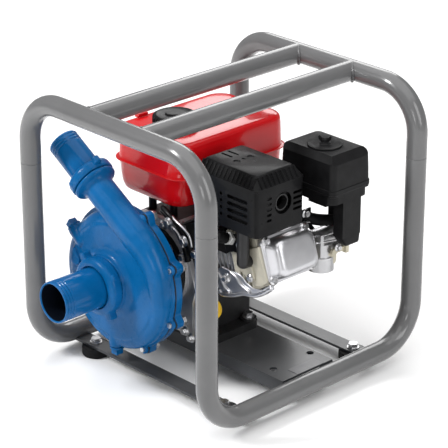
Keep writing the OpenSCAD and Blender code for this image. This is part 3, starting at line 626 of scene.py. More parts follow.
bm = bmesh.new()
for x in CROSS_X:
    for y0, sign in ((FRONT_Y, 1), (REAR_Y, -1)):
        pts = []
        for k in range(72):
            a = 2 * PI * k / 72
            r = TUBE_R + 0.4 * MM - 3.0 * MM * max(0, math.sin(a)) ** 3
            pts.append(V((x + r * math.cos(a),
                          y0 + sign * (TUBE_R * math.sqrt(math.cos(a) ** 2 + 0.012) + 0.6 * MM),
                          TOP_Z + r * math.sin(a))))
        bead(bm, pts, 2.1 * MM, int(x * 1000 + y0 * 1000))
link_mesh("cross_welds", bm, "weld", "machine")

# ---------------------------------------------------------------- pump

vc_lo, vc_hi = lohi("volute_casing")
PORT_Y = vc_lo.y
NECK_A = math.radians(58)
NECK_DIR = V((-math.sin(NECK_A), 0, math.cos(NECK_A)))
NECK_0 = V((CX + 92 * MM * math.cos(NECK_A), -122 * MM, CZ + 92 * MM * math.sin(NECK_A)))


def neck(t):
    return NECK_0 + NECK_DIR * (t * MM)


def about_crank(r, a, y):
    return V((CX + r * math.cos(a), y, CZ + r * math.sin(a)))


def volute_radius(deg):
    """Outer radius of the collector in millimetres at an angle from +X towards +Z."""
    turn = (deg - 130) % 360
    if turn <= 288:
        return 98.5 + 8.3 * (turn / 288) ** 0.75
    return 106.8 - 8.3 * (turn - 288) / 72


def volute_shell():
    bm = bmesh.new()
    steps = 120
    rings = []
    for i in range(steps):
        deg = 360 * i / steps
        big = volute_radius(deg)
        prof = [(0, -136.2), (30, -136.6), (50, -136.4), (big - 22, -135.8), (big - 17.5, -135.7)]
        for k in range(0, 10):
            t = math.radians(99 - k * 12)
            prof.append((big - 14.5 + 14.5 * math.cos(t), -119.2 - 14.6 * math.sin(t)))
        prof += [(big - 1.2, -113), (big - 3, -107), (0, -107)]
        rings.append([bm.verts.new(about_crank(r * MM, math.radians(deg), y * MM)) for r, y in prof])
    n = len(rings[0])
    for i in range(steps):
        a, b = rings[i], rings[(i + 1) % steps]
        for k in range(n - 1):
            bm.faces.new((a[k], a[k + 1], b[k + 1], b[k]))
    bmesh.ops.remove_doubles(bm, verts=bm.verts, dist=1e-6)
    y_axis = (0, 1, 0)
    flange = [(90, -111.5), (105.6, -111.5), (106.6, -110.5), (106.6, -106.2), (90, -106.2)]
    lathe([(r * MM, y * MM) for r, y in flange], (CX, 0, CZ), y_axis, 96, bm)
    port = [(0, -153), (33.5, -153), (33.5, -146), (40.5, -146), (41.6, -144.8), (41.8, -141.5), (44, -139),
            (49, -137), (56, -135.5), (0, -130)]
    lathe([(r * MM, y * MM) for r, y in port], (CX, 0, CZ), y_axis, 72, bm)
    for i in range(8):
        a = math.radians(22.5 + 45 * i)
        p = about_crank(108 * MM, a, 0)
        lug = [(0, -111.5), (6.4, -111.5), (7.4, -110.4), (7.4, -106.2), (0, -106.2)]
        lathe([(r * MM, y * MM) for r, y in lug], (p.x, 0, p.z), y_axis, 28, bm)
    pts, sizes = [], []
    for k in range(15):
        deg = -54 + 8 * k
        grow = (k / 14) ** 1.4
        pts.append(about_crank((volute_radius(deg) - 14.8) * MM, math.radians(deg), (-118.6 - 3.4 * grow) * MM))
        sizes.append(13.2 + 8.8 * grow)
    for k in range(1, 12):
        pts.append(neck(9.6 * k))
        sizes.append(22.0 - 0.5 * k / 11)
    sweep(pts, circle(MM, 44), bm=bm, scales=sizes, up=(0, 1, 0))
    collar = [(0, 97), (21.4, 97), (24, 101), (30.5, 103.4), (32, 104.4), (32.4, 106), (32.4, 108.4), (31.6,
                                                                                                       109.6),
              (27, 110.2), (27, 117), (0, 117)]
    lathe([(r * MM, t * MM) for r, t in collar], NECK_0, NECK_DIR, 56, bm)
    plug_a = math.radians(147.4)
    boss = [(0, 70), (13.4, 70), (12.2, 90), (11.6, 100), (10.8, 101), (0, 101)]
    lathe([(r * MM, t * MM) for r, t in boss], (CX, -125.5 * MM, CZ), (math.cos(plug_a), 0, math.sin(plug_a)),
          36, bm)
    drain = [(0, 78), (12.4, 78), (11.4, 100), (10.4, 103.6), (0, 103.6)]
    lathe([(r * MM, t * MM) for r, t in drain], (CX, -124 * MM, CZ), (0, 0, -1), 32, bm)
    leaf = []
    for k in range(36):
        t = 2 * PI * k / 36
        leaf.append((math.cos(t) * (9 + 9 * max(0, math.cos(t)) ** 3) * MM, math.sin(t) * 9.5 * MM))
    prism(leaf, about_crank(71 * MM, math.radians(169), -134 * MM), (0, -1, 0), 6.4 * MM, bm, spin=1.75)
    o = link_mesh("volute_shell", bm, "blue", "machine", ("volute_casing",))
    fused(o, 1.35 * MM, 6)
    cutter = lathe(solid_profile([(27 * MM, -160 * MM), (27 * MM, -118 * MM)]), (CX, 0, CZ), y_axis, 56)
    cut(o, cutter)
    cutter = lathe(solid_profile([(17 * MM, 60 * MM), (19.5 * MM, 120 * MM)]), NECK_0, NECK_DIR, 44)
    cut(o, cutter)
    shade_by_angle(o, 40)
    return o


volute_shell()


def lugged_ring(name, node, y0, y1, r_out, r_in, lug_r, material, edge):
    """Ring with eight bolt lugs, which stands for a flat CAD node between two depths."""
    bm = bmesh.new()
    step = 2 * PI / 160
    outline = []
    for k in range(160):
        a = k * step
        bend = abs((math.degrees(a) - 22.5 + 22.5) % 45 - 22.5)
        reach = 108 * math.cos(math.radians(bend)) + math.sqrt(max(0,
                lug_r ** 2 - (108 * math.sin(math.radians(bend))) ** 2)) \
            if 108 * math.sin(math.radians(bend)) < lug_r else 0
        outline.append(max(r_out, reach))
    rings = []
    for r_of, y in ((lambda k: r_in, y0), (lambda k: outline[k], y0), (lambda k: outline[k], y1),
                    (lambda k: r_in, y1)):
        rings.append([bm.verts.new(about_crank(r_of(k) * MM, k * step, y * MM)) for k in range(160)])
    for i in range(4):
        a, b = rings[i], rings[(i + 1) % 4]
        for k in range(160):
            bm.faces.new((a[k], a[(k + 1) % 160], b[(k + 1) % 160], b[k]))
    o = link_mesh(name, bm, material, "machine", (node,))
    round_edges(o, edge * MM, 2, 50)
    return o


lugged_ring("gasket_ring", "casing_gasket", -106, -104.5, 106.4, 90, 8.2, "dark", 0.3)
lugged_ring("back_flange", "pump_back_plate", -104.5, -92, 105.8, 40, 8.8, "blue", 1.6)
bm = lathe([(r * MM, y * MM) for r, y in ((20, -100), (92, -100), (90, -96), (62, -90), (40, -84), (31,
        -80.4), (20, -80.4))],
           (CX, 0, CZ), (0, 1, 0), 72)
o = link_mesh("back_dish", bm, "blue", "machine")
shade_by_angle(o, 30)
# thin dark sleeves just inside the suction and discharge bores: painted shade, not a part of the pump
for name, origin, axis, r, a, b in (("suction_bore_shade", (CX, 0, CZ), (0, 1, 0), 26.9, -236.5, -138),
                                    ("discharge_bore_shade", NECK_0, NECK_DIR, 19.7, 122, 186)):
    bm = lathe([(r * MM, a * MM), (r * MM, b * MM), ((r - 0.5) * MM, b * MM), ((r - 0.5) * MM, a * MM)],
               origin, axis, 56)
    o = link_mesh(name, bm, "bore", "machine")
    shade_by_angle(o, 30)


def union_nut(name, node, origin, axis, r_out, r_bore, depth, spin):
    """Ring nut with a rounded shoulder, two wrench lugs and a raised cast boss between them."""
    bm = bmesh.new()
    prof = [(r_bore, depth), (r_bore, 2), (r_out - 4, 0.3), (r_out - 1.2, 0.3), (r_out, 1.8),
            (r_out, depth - 7), (r_out - 1.5, depth - 3), (r_out - 6, depth - 0.6), (r_bore + 2, depth)]
    lathe([(r * MM, t * MM) for r, t in prof], origin, axis, 72, bm)
    mat = place(origin, axis, spin)
    for turn in (0, PI):
        m = mat @ Matrix.Rotation(turn, 4, "Z")
        out = [(r_out - 5, -6.2), (r_out + 7.4, -5.2), (r_out + 9.6, -3), (r_out + 9.6, 3),
               (r_out + 7.4, 5.2), (r_out - 5, 6.2)]
        low = [bm.verts.new(m @ V((x * MM, y * MM, 3 * MM))) for x, y in out]
        high = [bm.verts.new(m @ V((x * MM, y * MM * 0.86, (depth - 4) * MM))) for x, y in out]
        for k in range(6):
            bm.faces.new((low[k], low[(k + 1) % 6], high[(k + 1) % 6], high[k]))
        bm.faces.new(low[::-1])
        bm.faces.new(high)
    for turn in (0.5 * PI, 1.5 * PI):
        m = mat @ Matrix.Rotation(turn, 4, "Z")
        p = m @ V(((r_out - 3) * MM, 0, depth * 0.5 * MM))
        d = (m.to_3x3() @ V((1, 0, 0))).normalized()
        lathe([(0, 0), (4.6 * MM, 0), (4 * MM, 4.4 * MM), (0, 5 * MM)], p, d, 24, bm)
    o = link_mesh(name, bm, "blue", NODE_BODY[node], (node,))
    fused(o, 1.0 * MM, 5)
    return o


union_nut("suction_nut_cast", "suction_union_nut", (CX, -146.4 * MM, CZ), (0, -1, 0), 42.3, 31.2, 20.2,
          math.radians(125))
union_nut("discharge_nut_cast", "discharge_union_nut", neck(110.4), NECK_DIR, 33.6, 24.2, 17.2,
          math.radians(82))


def hose_barb(name, node, origin, axis, r, wall, length):
    prof = [(r - wall, length - 1.6), (r - wall, 1), (r - wall + 0.8, 0.2), (r + 4.3, 0.2), (r + 4.3, 4.6),
            (r + 0.4, 5.2), (r - 0.4, 11), (r, 12.5)]
    for k in (3, 2, 1):
        t0 = length - 1 - 5 * k
        prof += [(r, t0 - 0.6), (r - 0.9, t0 + 0.2), (r - 1.0, t0 + 1.6), (r - 0.1, t0 + 2.7)]
    prof += [(r - 0.1, length - 1.6), (r - 0.9, length - 0.2), (r - wall + 0.9, length - 0.2)]
    bm = lathe([(a * MM, t * MM) for a, t in prof], origin, axis, 80)
    o = link_mesh(name, bm, "barb_blue", "machine", (node,))
    shade_by_angle(o, 28)
    return o


mouth_lo, _ = lohi("suction_hose_barb")
hose_barb("suction_barb_cast", "suction_hose_barb", (CX, PORT_Y, CZ), (0, -1, 0), 30, 3,
          (PORT_Y - mouth_lo.y) / MM)
hose_barb("discharge_barb_cast", "discharge_hose_barb", neck(117), NECK_DIR, 23, 3.2, 71)

# ---------------------------------------------------------------- fuel tank

tk_lo, tk_hi = lohi("fuel_tank")


def tank_shell():
    bm = bmesh.new()
    w, d = tk_hi.x - tk_lo.x, tk_hi.y - tk_lo.y
    cx, cy = (tk_lo.x + tk_hi.x) / 2, (tk_lo.y + tk_hi.y) / 2
    n = 14
    levels = [(244.0, 60, 12), (244.0, 20, 20), (244.3, 17, 22), (245.4, 14, 24), (247, 11.8, 25), (250, 9.4,
                                                                                                    26),
              (258, 7.4, 26), (270, 6.0, 27), (289.6, 4.6, 27), (290.6, 4.0, 27),
              (290.9, 0.6, 29), (291.3, 0.1, 29), (292.2, 0.1, 29), (292.6, 0.6, 29),
              (292.9, 4.0, 27), (294, 4.5, 27), (310, 4.7, 27), (326, 5.1, 27), (334, 5.7, 27),
              (337.2, 6.6, 27), (339.2, 8.4, 26), (340.4, 10.8, 25), (341, 14, 24), (341.3, 20, 22),
              (341.6, 30, 20), (341.9, 44, 14), (342, 60, 8)]
    rings = []
    for z, inset, r in levels:
        out = superellipse(w - 2 * inset * MM, d - 2 * inset * MM, r * MM, n)
        rings.append([bm.verts.new((cx + x, cy + y, z * MM)) for x, y in out])
    m = len(rings[0])
    for a, b in zip(rings, rings[1:]):
        for k in range(m):
            bm.faces.new((a[k], a[(k + 1) % m], b[(k + 1) % m], b[k]))
    bm.faces.new(rings[0][::-1])
    bm.faces.new(rings[-1])
    o = link_mesh("tank_pressing", bm, "red", "machine", ("fuel_tank",))
    shade_by_angle(o, 45)
    return o


tank_shell()
cap_lo, cap_hi = lohi("fuel_cap")
cap_c = (cap_lo + cap_hi) / 2
bm = lathe([(r * MM, z * MM) for r, z in ((0, 336), (23, 336), (23, 343.6), (22.4, 345), (21, 345), (0, 345))],
           (cap_c.x, cap_c.y, 0), (0, 0, 1), 48)
o = link_mesh("tank_neck", bm, "red", "machine")
shade_by_angle(o)


def fuel_cap():
    bm = bmesh.new()
    r0, z0, z1 = 32.2, cap_lo.z / MM + 0.1, cap_hi.z / MM
    seg = 216
    prof = [(21, z0 + 2), (21, z0), (r0 - 1.2, z0), (r0, z0 + 1), (r0, z1 - 5.4), (r0 - 1.2, z1 - 3.6),
            (r0 - 3, z1 - 2.6),
            (r0 - 5, z1 - 2.2), (r0 - 7, z1 - 3), (16, z1 - 3), (0, z1 - 3)]
    rings = []
    for i, (r, z) in enumerate(prof):
        ring = []
        for k in range(seg):
            a = 2 * PI * k / seg
            grip = 0.0
            if i in (3, 4, 5):
                grip = 1.5 * max(0, math.cos(a * 36)) ** 0.6 if math.cos(a * 36) > 0 else 0
                grip = grip - 0.7
            ring.append(bm.verts.new((cap_c.x + (r + grip) * MM * math.cos(a),
                                      cap_c.y + (r + grip) * MM * math.sin(a), z * MM)))
        rings.append(ring)
    for a, b in zip(rings, rings[1:]):
        for k in range(seg):
            bm.faces.new((a[k], a[(k + 1) % seg], b[(k + 1) % seg], b[k]))
    bm.faces.new(rings[0][::-1])
    bmesh.ops.remove_doubles(bm, verts=bm.verts, dist=1e-6)
    oval = [(15 * MM * math.cos(t), 9.5 * MM * math.sin(t)) for t in (2 * PI * k / 40 for k in range(40))]
    prism(oval, (cap_c.x, cap_c.y, (z1 - 3.4) * MM), (0, 0, 1), 2.6 * MM, bm, spin=0.8, top_inset=1.4 * MM,
          top_height=1.2 * MM)
    o = link_mesh("cap_moulding", bm, "plastic", "filler_cap", ("fuel_cap",))
    shade_by_angle(o, 30)


fuel_cap()

# ---------------------------------------------------------------- air cleaner


def box_levels(name, lo, hi, levels, material, body, replaces=(), n=8, angle=40):
    """Lofts a rounded box: each level is (z in mm, inset in mm, corner radius in mm)."""
    bm = bmesh.new()
    cx, cy = (lo.x + hi.x) / 2, (lo.y + hi.y) / 2
    rings = []
    for z, inset, r in levels:
        out = superellipse(hi.x - lo.x - 2 * inset * MM, hi.y - lo.y - 2 * inset * MM, r * MM, n)
        rings.append([bm.verts.new((cx + x, cy + y, z * MM)) for x, y in out])
    m = len(rings[0])
    for a, b in zip(rings, rings[1:]):
        for k in range(m):
            bm.faces.new((a[k], a[(k + 1) % m], b[(k + 1) % m], b[k]))
    bm.faces.new(rings[0][::-1])
    bm.faces.new(rings[-1])
    o = link_mesh(name, bm, material, body, replaces)
    shade_by_angle(o, angle)
    return o


ac_lo, ac_hi = lohi("air_cleaner_cover")
lid = box_levels("cleaner_lid", ac_lo, ac_hi,
                 [(286.4, 1.6, 8), (286.8, 0.8, 9), (289.5, 0.6, 9), (290, 0.1, 9), (296, 0.1, 9), (296.6,
                                                                                                    1.2, 8.5),
                  (318, 1.6, 8.5), (334, 2.2, 8.5), (339, 2.9, 8), (341.6, 4.4, 7.5), (342.7, 6.6, 7), (343,
                                                                                                        9, 6)],
                 "plastic", "cleaner_cover", ("air_cleaner_cover",))


def slice_off(o, point, normal):
    """Planes a piece down to a plane and closes the cut."""
    bm = bmesh.new()
    bm.from_mesh(o.data)
    cutting = bmesh.ops.bisect_plane(bm, geom=bm.verts[:] + bm.edges[:] + bm.faces[:], plane_co=point,
                                     plane_no=normal, clear_outer=True)
    edges = [e for e in cutting["geom_cut"] if isinstance(e, bmesh.types.BMEdge)]
    bmesh.ops.contextual_create(bm, geom=edges)
    bmesh.ops.recalc_face_normals(bm, faces=bm.faces)
    bm.to_mesh(o.data)
    bm.free()


slice_off(lid, (ac_hi.x - 1.5 * MM, 0, 333 * MM), (0.75, 0, 1))
slice_off(lid, (0, ac_lo.y + 1.5 * MM, 334 * MM), (0, -0.85, 1))
round_edges(lid, 1.2 * MM, 2, 28)
kn_lo, kn_hi = lohi("air_cleaner_knob")
kx, ky = (kn_lo.x + kn_hi.x) / 2, (kn_lo.y + kn_hi.y) / 2


def cleaner_knob():
    bm = bmesh.new()
    z = 343.35
    prof = [(0, z), (24.6, z), (24.9, z + 0.6), (24.4, z + 1.8), (22.6, z + 2.2), (12, z + 2.2), (8.4, z + 2.4),
            (8, z + 3.2), (4.4, z + 4), (4.2, z + 8.4), (3, z + 9), (0, z + 9)]
    lathe([(r * MM, h * MM) for r, h in prof], (kx, ky, 0), (0, 0, 1), 56, bm)
    lathe(solid_profile([(3.4 * MM, 290.6 * MM), (3.4 * MM, (z + 1) * MM)]), (kx, ky, 0), (0, 0, 1), 24, bm)
    for side in (1, -1):
        wing = [(0.5, 0), (5, 0.4), (8.6, 4.5), (9.6, 8), (8.6, 9.8), (6.6, 9.4), (4.4, 6.6), (0.5, 6)]
        pts = [(side * x * MM, y * MM) for x, y in wing]
        m = Matrix.Translation(V((kx, ky, (z + 3.4) * MM))) @ Matrix.Rotation(0.6, 4, "Z")
        a = [bm.verts.new(m @ V((x, -1.3 * MM, h))) for x, h in pts]
        b = [bm.verts.new(m @ V((x, 1.3 * MM, h))) for x, h in pts]
        for k in range(len(pts)):
            j = (k + 1) % len(pts)
            bm.faces.new((a[k], a[j], b[j], b[k]))
        bm.faces.new(a[::-1])
        bm.faces.new(b)
    o = link_mesh("wing_knob", bm, "plastic", "cleaner_knob", ("air_cleaner_knob",))
    round_edges(o, 0.8 * MM, 2, 40)


cleaner_knob()

# ---------------------------------------------------------------- valve cover

TILT = math.radians(17)
CYL = Matrix.Translation(V((CX, 26 * MM, CZ))) @ Matrix.Rotation(-TILT, 4, "Y")


def cyl(x, y, z):
    return CYL @ V((x * MM, y * MM, z * MM))


CYL_X = (CYL.to_3x3() @ V((1, 0, 0))).normalized()


def loft_x(name, levels, material, body, replaces=(), n=8, offset=(0, 0), angle=40):
    """Lofts rounded rectangles along the cylinder axis: level = (x, width in y, height in z, corner)."""
    bm = bmesh.new()
    rings = []
    for x, wy, wz, r in levels:
        out = superellipse(wy * MM, wz * MM, r * MM, n)
        rings.append([bm.verts.new(CYL @ V((x * MM, y + offset[0] * MM, z + offset[1] * MM))) for y, z in out])
    m = len(rings[0])
    for a, b in zip(rings, rings[1:]):
        for k in range(m):
            bm.faces.new((a[k], a[(k + 1) % m], b[(k + 1) % m], b[k]))
    bm.faces.new(rings[0][::-1])
    bm.faces.new(rings[-1])
    o = link_mesh(name, bm, material, body, replaces)
    shade_by_angle(o, angle)
    return o


loft_x("valve_cover_cast",
       [(190.1, 88, 66, 9), (199, 90, 68, 9), (200.2, 88.6, 66.6, 8.5), (200.6, 82, 60, 12), (203, 80.5, 58.5,
                                                                                              13),
        (211, 77.5, 56, 13), (216.5, 74.5, 53, 13), (219.8, 69.5, 48, 12), (221.4, 62, 41, 10), (221.8, 54,
                                                                                                 34, 8)],
       "alu_bright", "machine", ("valve_cover",), offset=(2, -3))
bm = bmesh.new()
for y in (-38, 38):
    for z in (-28, 28):
        hex_bolt(bm, cyl(200.2, y + 2, z - 3), CYL_X, 8 * MM, 5 * MM, flange=6.8 * MM, spin=0.4)
bolt = link_mesh("cover_bolts", bm, "zinc", "machine")
shade_by_angle(bolt, 25)
# ---------------------------------------------------------------- engine details


def sheet(name, outline, y0, y1, material, replaces=(), edge=0.8, body="machine"):
    """Plate cut to an outline of (along, across) in the cylinder's plane, between two depths in Y."""
    bm = bmesh.new()
    near = [bm.verts.new(cyl(x, y0, z)) for x, z in outline]
    far = [bm.verts.new(cyl(x, y1, z)) for x, z in outline]
    n = len(outline)
    for k in range(n):
        bm.faces.new((near[k], near[(k + 1) % n], far[(k + 1) % n], far[k]))
    bm.faces.new(near)
    bm.faces.new(far[::-1])
    o = link_mesh(name, bm, material, body, replaces)
    round_edges(o, edge * MM, 2)
    return o


def rods(name, paths, r, material, body="machine", sides=14):
    bm = bmesh.new()
    for path in paths:
        sweep(smooth_path([V(p) * MM for p in path], 6), circle(r * MM, sides), bm=bm)
    return link_mesh(name, bm, material, body)


sheet("shroud_front", [(76, 46), (133, 46), (133, 12), (126, 9), (112, 14), (97, 14), (88, 20), (76, 22)],
      -47.4, -44.6,
      "black_sheet", ("cylinder_shroud",))
sheet("shroud_lobe", [(133.4, 40), (176, 40), (183, 32), (181, 16), (173, 10), (158, 12), (148, 14), (133.4,
                                                                                                      13)],
      -52.5, -49.6, "black_sheet")
sheet("shroud_top", [(76, 43.6), (132, 43.6), (132, 46.2), (76, 46.2)], -44.4, 46, "black_sheet")
bm = bmesh.new()
hex_bolt(bm, cyl(168, -52.6, 25), (0, -1, 0), 8 * MM, 5 * MM, flange=7 * MM)
hex_bolt(bm, cyl(122, -47.5, 36), (0, -1, 0), 8 * MM, 5 * MM, flange=7 * MM)
hex_bolt(bm, cyl(118, -48.6, -26), (0, -1, 0), 8 * MM, 5 * MM, flange=7 * MM)
hex_bolt(bm, cyl(170, -50.4, -24), (0, -1, 0), 7 * MM, 3 * MM, flange=6 * MM)
o = link_mesh("shroud_bolts", bm, "zinc", "machine")
shade_by_angle(o, 25)
sheet("lower_casting", [(95, -45.2), (100, -14), (112, -9), (128, -15), (141, -17), (150, -22), (158, -32),
                        (170, -40),
                        (187, -41), (205, -34), (212, -38), (196, -46), (170, -52), (148, -50), (128, -53),
                        (104, -53)],
      -48.4, -45.2, "alu_bright", edge=1.2)
rods("casting_rim", [[tuple(cyl(x, -48.6, z) / MM) for x, z in
                      ((97, -44), (104, -50), (128, -50.6), (148, -48), (170, -50), (192, -45.4), (210, -38))],
                     [tuple(cyl(x, -48.6, z) / MM) for x, z in
                      ((129, -16), (140, -24), (148, -36), (162, -45))],
                     [tuple(cyl(x, -48.6, z) / MM) for x, z in
                      ((101, -16), (108, -28), (112, -40), (120, -47))]],
     3.2, "alu_bright")
sheet("head_flank", [(140, 12), (196, 20), (198, -32), (186, -38), (172, -37), (160, -28), (152, -18), (142,
                                                                                                        -14)],
      -46.8, -30, "head", edge=1.5)
sheet("head_boss", [(158, -8), (176, -8), (178, -26), (170, -30), (160, -24)], -50, -44, "head",
      edge=1.5)

# carburettor side: bowl, rods, levers and the intake elbow
bm = lathe([(r * MM, z * MM) for r, z in ((0, 156), (9, 156), (14.5, 157.5), (15.6, 160), (15.8, 172), (17.6,
                                                                                                        173),
                                          (17.8, 177), (0, 178))], (108 * MM, 117.5 * MM, 0), (0, 0, 1), 40)
o = link_mesh("float_bowl", bm, "cream", "machine")
shade_by_angle(o, 35)
bm = bmesh.new()
hex_bolt(bm, (108 * MM, 117 * MM, 156 * MM), (0, 0, -1), 10 * MM, 6 * MM, flange=8 * MM)
hex_bolt(bm, (131 * MM, 118 * MM, 186 * MM), (1, 0, 0), 7 * MM, 4 * MM, flange=6 * MM)
hex_bolt(bm, (127 * MM, 136 * MM, 190 * MM), (1, 0, 0), 7 * MM, 4 * MM, flange=6 * MM)
o = link_mesh("carburettor_screws", bm, "zinc", "machine")
shade_by_angle(o, 25)
rods("control_rods", [[(128, 76, 204), (129, 100, 200), (130, 122, 197), (131, 142, 194)],
                      [(118, 60, 214), (120, 82, 210), (122, 100, 207), (124, 120, 207)],
                      [(100, 66, 226), (104, 88, 226), (108, 104, 222), (116, 116, 216)]], 1.5, "zinc")
rods("breather_elbow", [[(78, 66, 236), (92, 84, 232), (104, 100, 226), (112, 122, 221), (116, 142, 220),
                         (118, 160, 222)]],
     8.5, "rubber", sides=24)
rods("fuel_hose", [[(60, 92, 246), (74, 98, 226), (96, 104, 206), (104, 106, 196)],
                   [(88, 52, 240), (96, 62, 222), (104, 72, 206), (110, 84, 198)]], 3.4, "rubber",
                   sides=18)
bm = bmesh.new()
box_bm((72 * MM, 62 * MM, 214 * MM), (110 * MM, 64.2 * MM, 246 * MM), bm)
box_bm((96 * MM, 64.4 * MM, 226 * MM), (99 * MM, 96 * MM, 244 * MM), bm)
o = link_mesh("control_plate", bm, "black_sheet", "machine")
round_edges(o, 0.8 * MM, 2)
bm = bmesh.new()
for p, d in (((104, 61.8, 238), (0, -1, 0)), ((84, 61.8, 222), (0, -1, 0)), ((99.2, 84, 238), (1, 0, 0))):
    hex_bolt(bm, V(p) * MM, d, 8 * MM, 4.5 * MM, flange=6.6 * MM)
o = link_mesh("control_screws", bm, "zinc", "machine")
shade_by_angle(o, 25)

bm = bmesh.new()
rings = []
for z, w, d, y in ((219, 17, 35, 111), (214, 18, 35, 111), (206, 17, 30, 113), (203, 16, 27, 114)):
    rings.append([bm.verts.new((155 * MM + px, y * MM + py, z * MM)) for px, py in superellipse(w * MM,
            d * MM, 3 * MM, 4)])
for a, b in zip(rings, rings[1:]):
    for k in range(len(a)):
        bm.faces.new((a[k], a[(k + 1) % len(a)], b[(k + 1) % len(a)], b[k]))
bm.faces.new(rings[0])
bm.faces.new(rings[-1][::-1])
o = link_mesh("intake_snout", bm, "plastic", "machine")
shade_by_angle(o, 30)

# governor arm, bracket ribs and ducting under the tank
rods("governor_links", [[(-34, -50, 236), (-22, -54, 232), (-6, -55, 226), (8, -54, 216), (12, -53, 200)],
                        [(-40, -52, 228), (-26, -56, 222), (-10, -57, 212), (-2, -57, 196)]], 2.0, "zinc")
rods("duct_ribs", [[(-52, -50, 240), (-34, -52, 234), (-14, -52, 222), (2, -51, 204), (10, -50, 182)],
                   [(-58, -46, 234), (-40, -48, 226), (-22, -48, 212), (-8, -48, 192), (-2, -47, 172)]], 4.6,
     "black_paint", sides=16)
bm = bmesh.new()
for p in ((-30, -58, 226), (2, -58.5, 208), (-10, -49, 176), (16, -49, 190)):
    hex_bolt(bm, V(p) * MM, (0, -1, 0), 10 * MM, 5 * MM, flange=8 * MM)
for p in ((6, -49.5, 56), (-50, -48.5, 214), (-8, -48.5, 62)):
    hex_bolt(bm, V(p) * MM, (0, -1, 0), 9 * MM, 5 * MM, flange=7.6 * MM)
o = link_mesh("case_bolts", bm, "zinc", "machine")
shade_by_angle(o, 25)

# blank plate lying on the base
bm = bmesh.new()
prism(superellipse(52 * MM, 20 * MM, 1.5 * MM, 3), (160 * MM, 27 * MM, 40.1 * MM), (0, 0, 1), 0.5 * MM, bm,
      spin=PI / 2)
o = link_mesh("blank_label", bm, "label", "machine")
shade_by_angle(o, 30)

# pressed oval on the tank's side and the cap's tab
bm = bmesh.new()
prism(superellipse(15 * MM, 7 * MM, 3.4 * MM, 6), (tk_hi.x - 5.6 * MM, -34 * MM, 331 * MM), (1, 0, 0),
      1.4 * MM, bm,
      top_inset=1.2 * MM, top_height=1.1 * MM)
prism(superellipse(9 * MM, 20 * MM, 2 * MM, 4), (-146 * MM, -4 * MM, 341.6 * MM), (0, 0, 1), 4.4 * MM, bm,
      top_inset=1 * MM, top_height=1.4 * MM)
o = link_mesh("tank_marks", bm, "red", "machine")
shade_by_angle(o, 30)

# ---------------------------------------------------------------- muffler guard

mg_lo, mg_hi = lohi("muffler_guard")


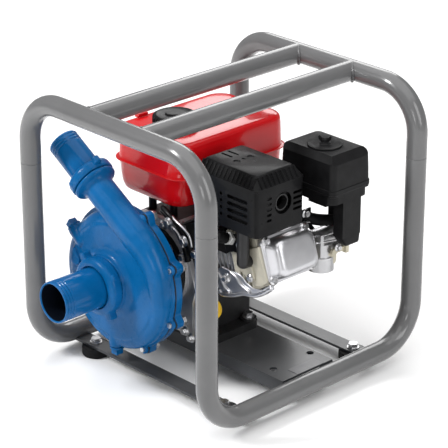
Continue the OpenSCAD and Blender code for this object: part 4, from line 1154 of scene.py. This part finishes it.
def guard():
    o = box_levels("guard_pressing", mg_lo, mg_hi,
                   [(247, 1, 6), (313.8, 1, 6), (314.3, 0.1, 6.5), (316.8, 0.1, 6.5), (317.6, 1.4, 6), (330.8,
                           10.2, 5),
                    (332.4, 11.6, 5), (333, 13.4, 4)],
                   "black_sheet", "machine", ("muffler_guard",), n=5)
    hollow = bmesh.new()
    rings = []
    for z, inset, r in ((240, 3, 4), (315, 3, 4), (329.5, 12.4, 4), (330.8, 14, 3)):
        out = superellipse(mg_hi.x - mg_lo.x - 2 * inset * MM, mg_hi.y - mg_lo.y - 2 * inset * MM, r * MM, 4)
        rings.append([hollow.verts.new(((mg_lo.x + mg_hi.x) / 2 + x, (mg_lo.y + mg_hi.y) / 2 + y, z * MM))
                      for x, y in out])
    for a, b in zip(rings, rings[1:]):
        for k in range(len(a)):
            hollow.faces.new((a[k], a[(k + 1) % len(a)], b[(k + 1) % len(a)], b[k]))
    hollow.faces.new(rings[0][::-1])
    hollow.faces.new(rings[-1])
    cut(o, hollow)
    slots = bmesh.new()
    for i in range(4):
        prism(superellipse(40 * MM, 5.2 * MM, 2.5 * MM, 5), (96 * MM, mg_lo.y - 3 * MM,
                                                             (265.5 + 10 * i) * MM), (0, 1, 0),
              8 * MM, slots)
        prism(superellipse(5 * MM, 5 * MM, 2.4 * MM, 5), (64 * MM, mg_lo.y - 3 * MM, (265.5 + 10 * i) * MM),
              (0, 1, 0),
              8 * MM, slots)
        prism(superellipse(17 * MM, 4.2 * MM, 2 * MM, 4), (mg_hi.x - 4 * MM, 33 * MM, (272 + 8 * i) * MM), (1,
                0, 0),
              8 * MM, slots)
    for i in range(5):
        prism(superellipse(9 * MM, 4 * MM, 1.9 * MM, 4), (mg_hi.x - 4 * MM, -21 * MM, (268 + 8 * i) * MM), (1,
                0, 0),
              8 * MM, slots)
    lathe(solid_profile([(16 * MM, -4 * MM), (16 * MM, 6 * MM)]), (mg_hi.x, 5.5 * MM, 287 * MM), (1, 0, 0),
          40, slots)
    cut(o, slots)
    marks = bmesh.new()
    for x, y in ((62, -14), (62, 12)):
        lathe(solid_profile([(4.2 * MM, -1.3 * MM), (6 * MM, 1 * MM)]), (x * MM, y * MM, mg_hi.z), (0, 0, 1),
              32, marks)
    prism(superellipse(7 * MM, 4 * MM, 1.9 * MM, 5), (62 * MM, -1 * MM, mg_hi.z - 1.1 * MM), (0, 0, 1),
          3 * MM, marks)
    for y in (-8, 4):
        prism(superellipse(22 * MM, 4 * MM, 1.9 * MM, 5), (36 * MM, y * MM, mg_hi.z - 4 * MM), (0, 0, 1),
              6 * MM, marks)
    cut(o, marks)
    shade_by_angle(o, 30)
    bm = bmesh.new()

    def rib(a, b, across):
        """Bar lying on the sloped rim from a to b."""
        lean = (V(b) - V(a)).normalized()
        side = V(across) * 1.5 * MM
        lift = side.cross(lean).normalized() * 1.6 * MM
        if lift.z < 0:
            lift = -lift
        low = [V(a) - side, V(a) + side, V(b) + side, V(b) - side]
        verts = [bm.verts.new(p) for p in low] + [bm.verts.new(p + lift) for p in low]
        for f in ((3, 2, 1, 0), (4, 5, 6, 7), (0, 1, 5, 4), (1, 2, 6, 5), (2, 3, 7, 6), (3, 0, 4, 7)):
            bm.faces.new([verts[i] for i in f])

    for i in range(14):
        x = mg_lo.x + (12 + i * 7.8) * MM
        rib((x, mg_lo.y + 1.6 * MM, 317.6 * MM), (x, mg_lo.y + 10.8 * MM, 331.6 * MM), (1, 0, 0))
    for i in range(9):
        y = mg_lo.y + (13 + i * 8.5) * MM
        rib((mg_hi.x - 1.6 * MM, y, 317.6 * MM), (mg_hi.x - 10.8 * MM, y, 331.6 * MM), (0, 1, 0))
    ribs = link_mesh("guard_ribs", bm, "black_sheet", "machine")
    round_edges(ribs, 0.5 * MM, 2)


guard()

for node, width in (("base_plate", 0.9), ("foot_straps", 0.8), ("rubber_feet", 1.4), ("foot_bolts", 0.5),
                    ("engine_bolts", 0.5), ("pump_bracket", 1.5), ("casing_bolts", 0.5), ("bracket_bolts", 0.5),
                    ("crankcase", 1.8), ("crankcase_cover", 1.6), ("cylinder", 0.5), ("cylinder_head", 0.7),
                    ("spark_plug", 0.6),
                    ("blower_housing", 1.5), ("flywheel", 0.7), ("ignition_coil", 1.0),
                    ("recoil_housing", 1.6), ("recoil_handle", 1.0), ("carburettor", 1.0),
                    ("choke_lever", 0.6), ("fuel_valve_lever", 0.6), ("throttle_lever", 0.6),
                    ("air_cleaner_base", 1.6),
                    ("muffler", 1.5), ("oil_filler_cap", 1.0), ("priming_plug", 1.2), ("drain_plug", 1.2)):
    softened(node, width * MM)

# ---------------------------------------------------------------- stage

bm = bmesh.new()
s = 14.0
vs = [bm.verts.new(p) for p in ((-s, -s, 0), (s, -s, 0), (s, s, 0), (-s, s, 0))]
bm.faces.new(vs)
me = bpy.data.meshes.new("floor")
bm.to_mesh(me)
bm.free()
floor = bpy.data.objects.new("floor", me)
scene.collection.objects.link(floor)
me.materials.append(node_material("floor_pale", (0.93, 0.93, 0.93), 0.6, vary=0.01, vary_scale=2, grain=0.02))
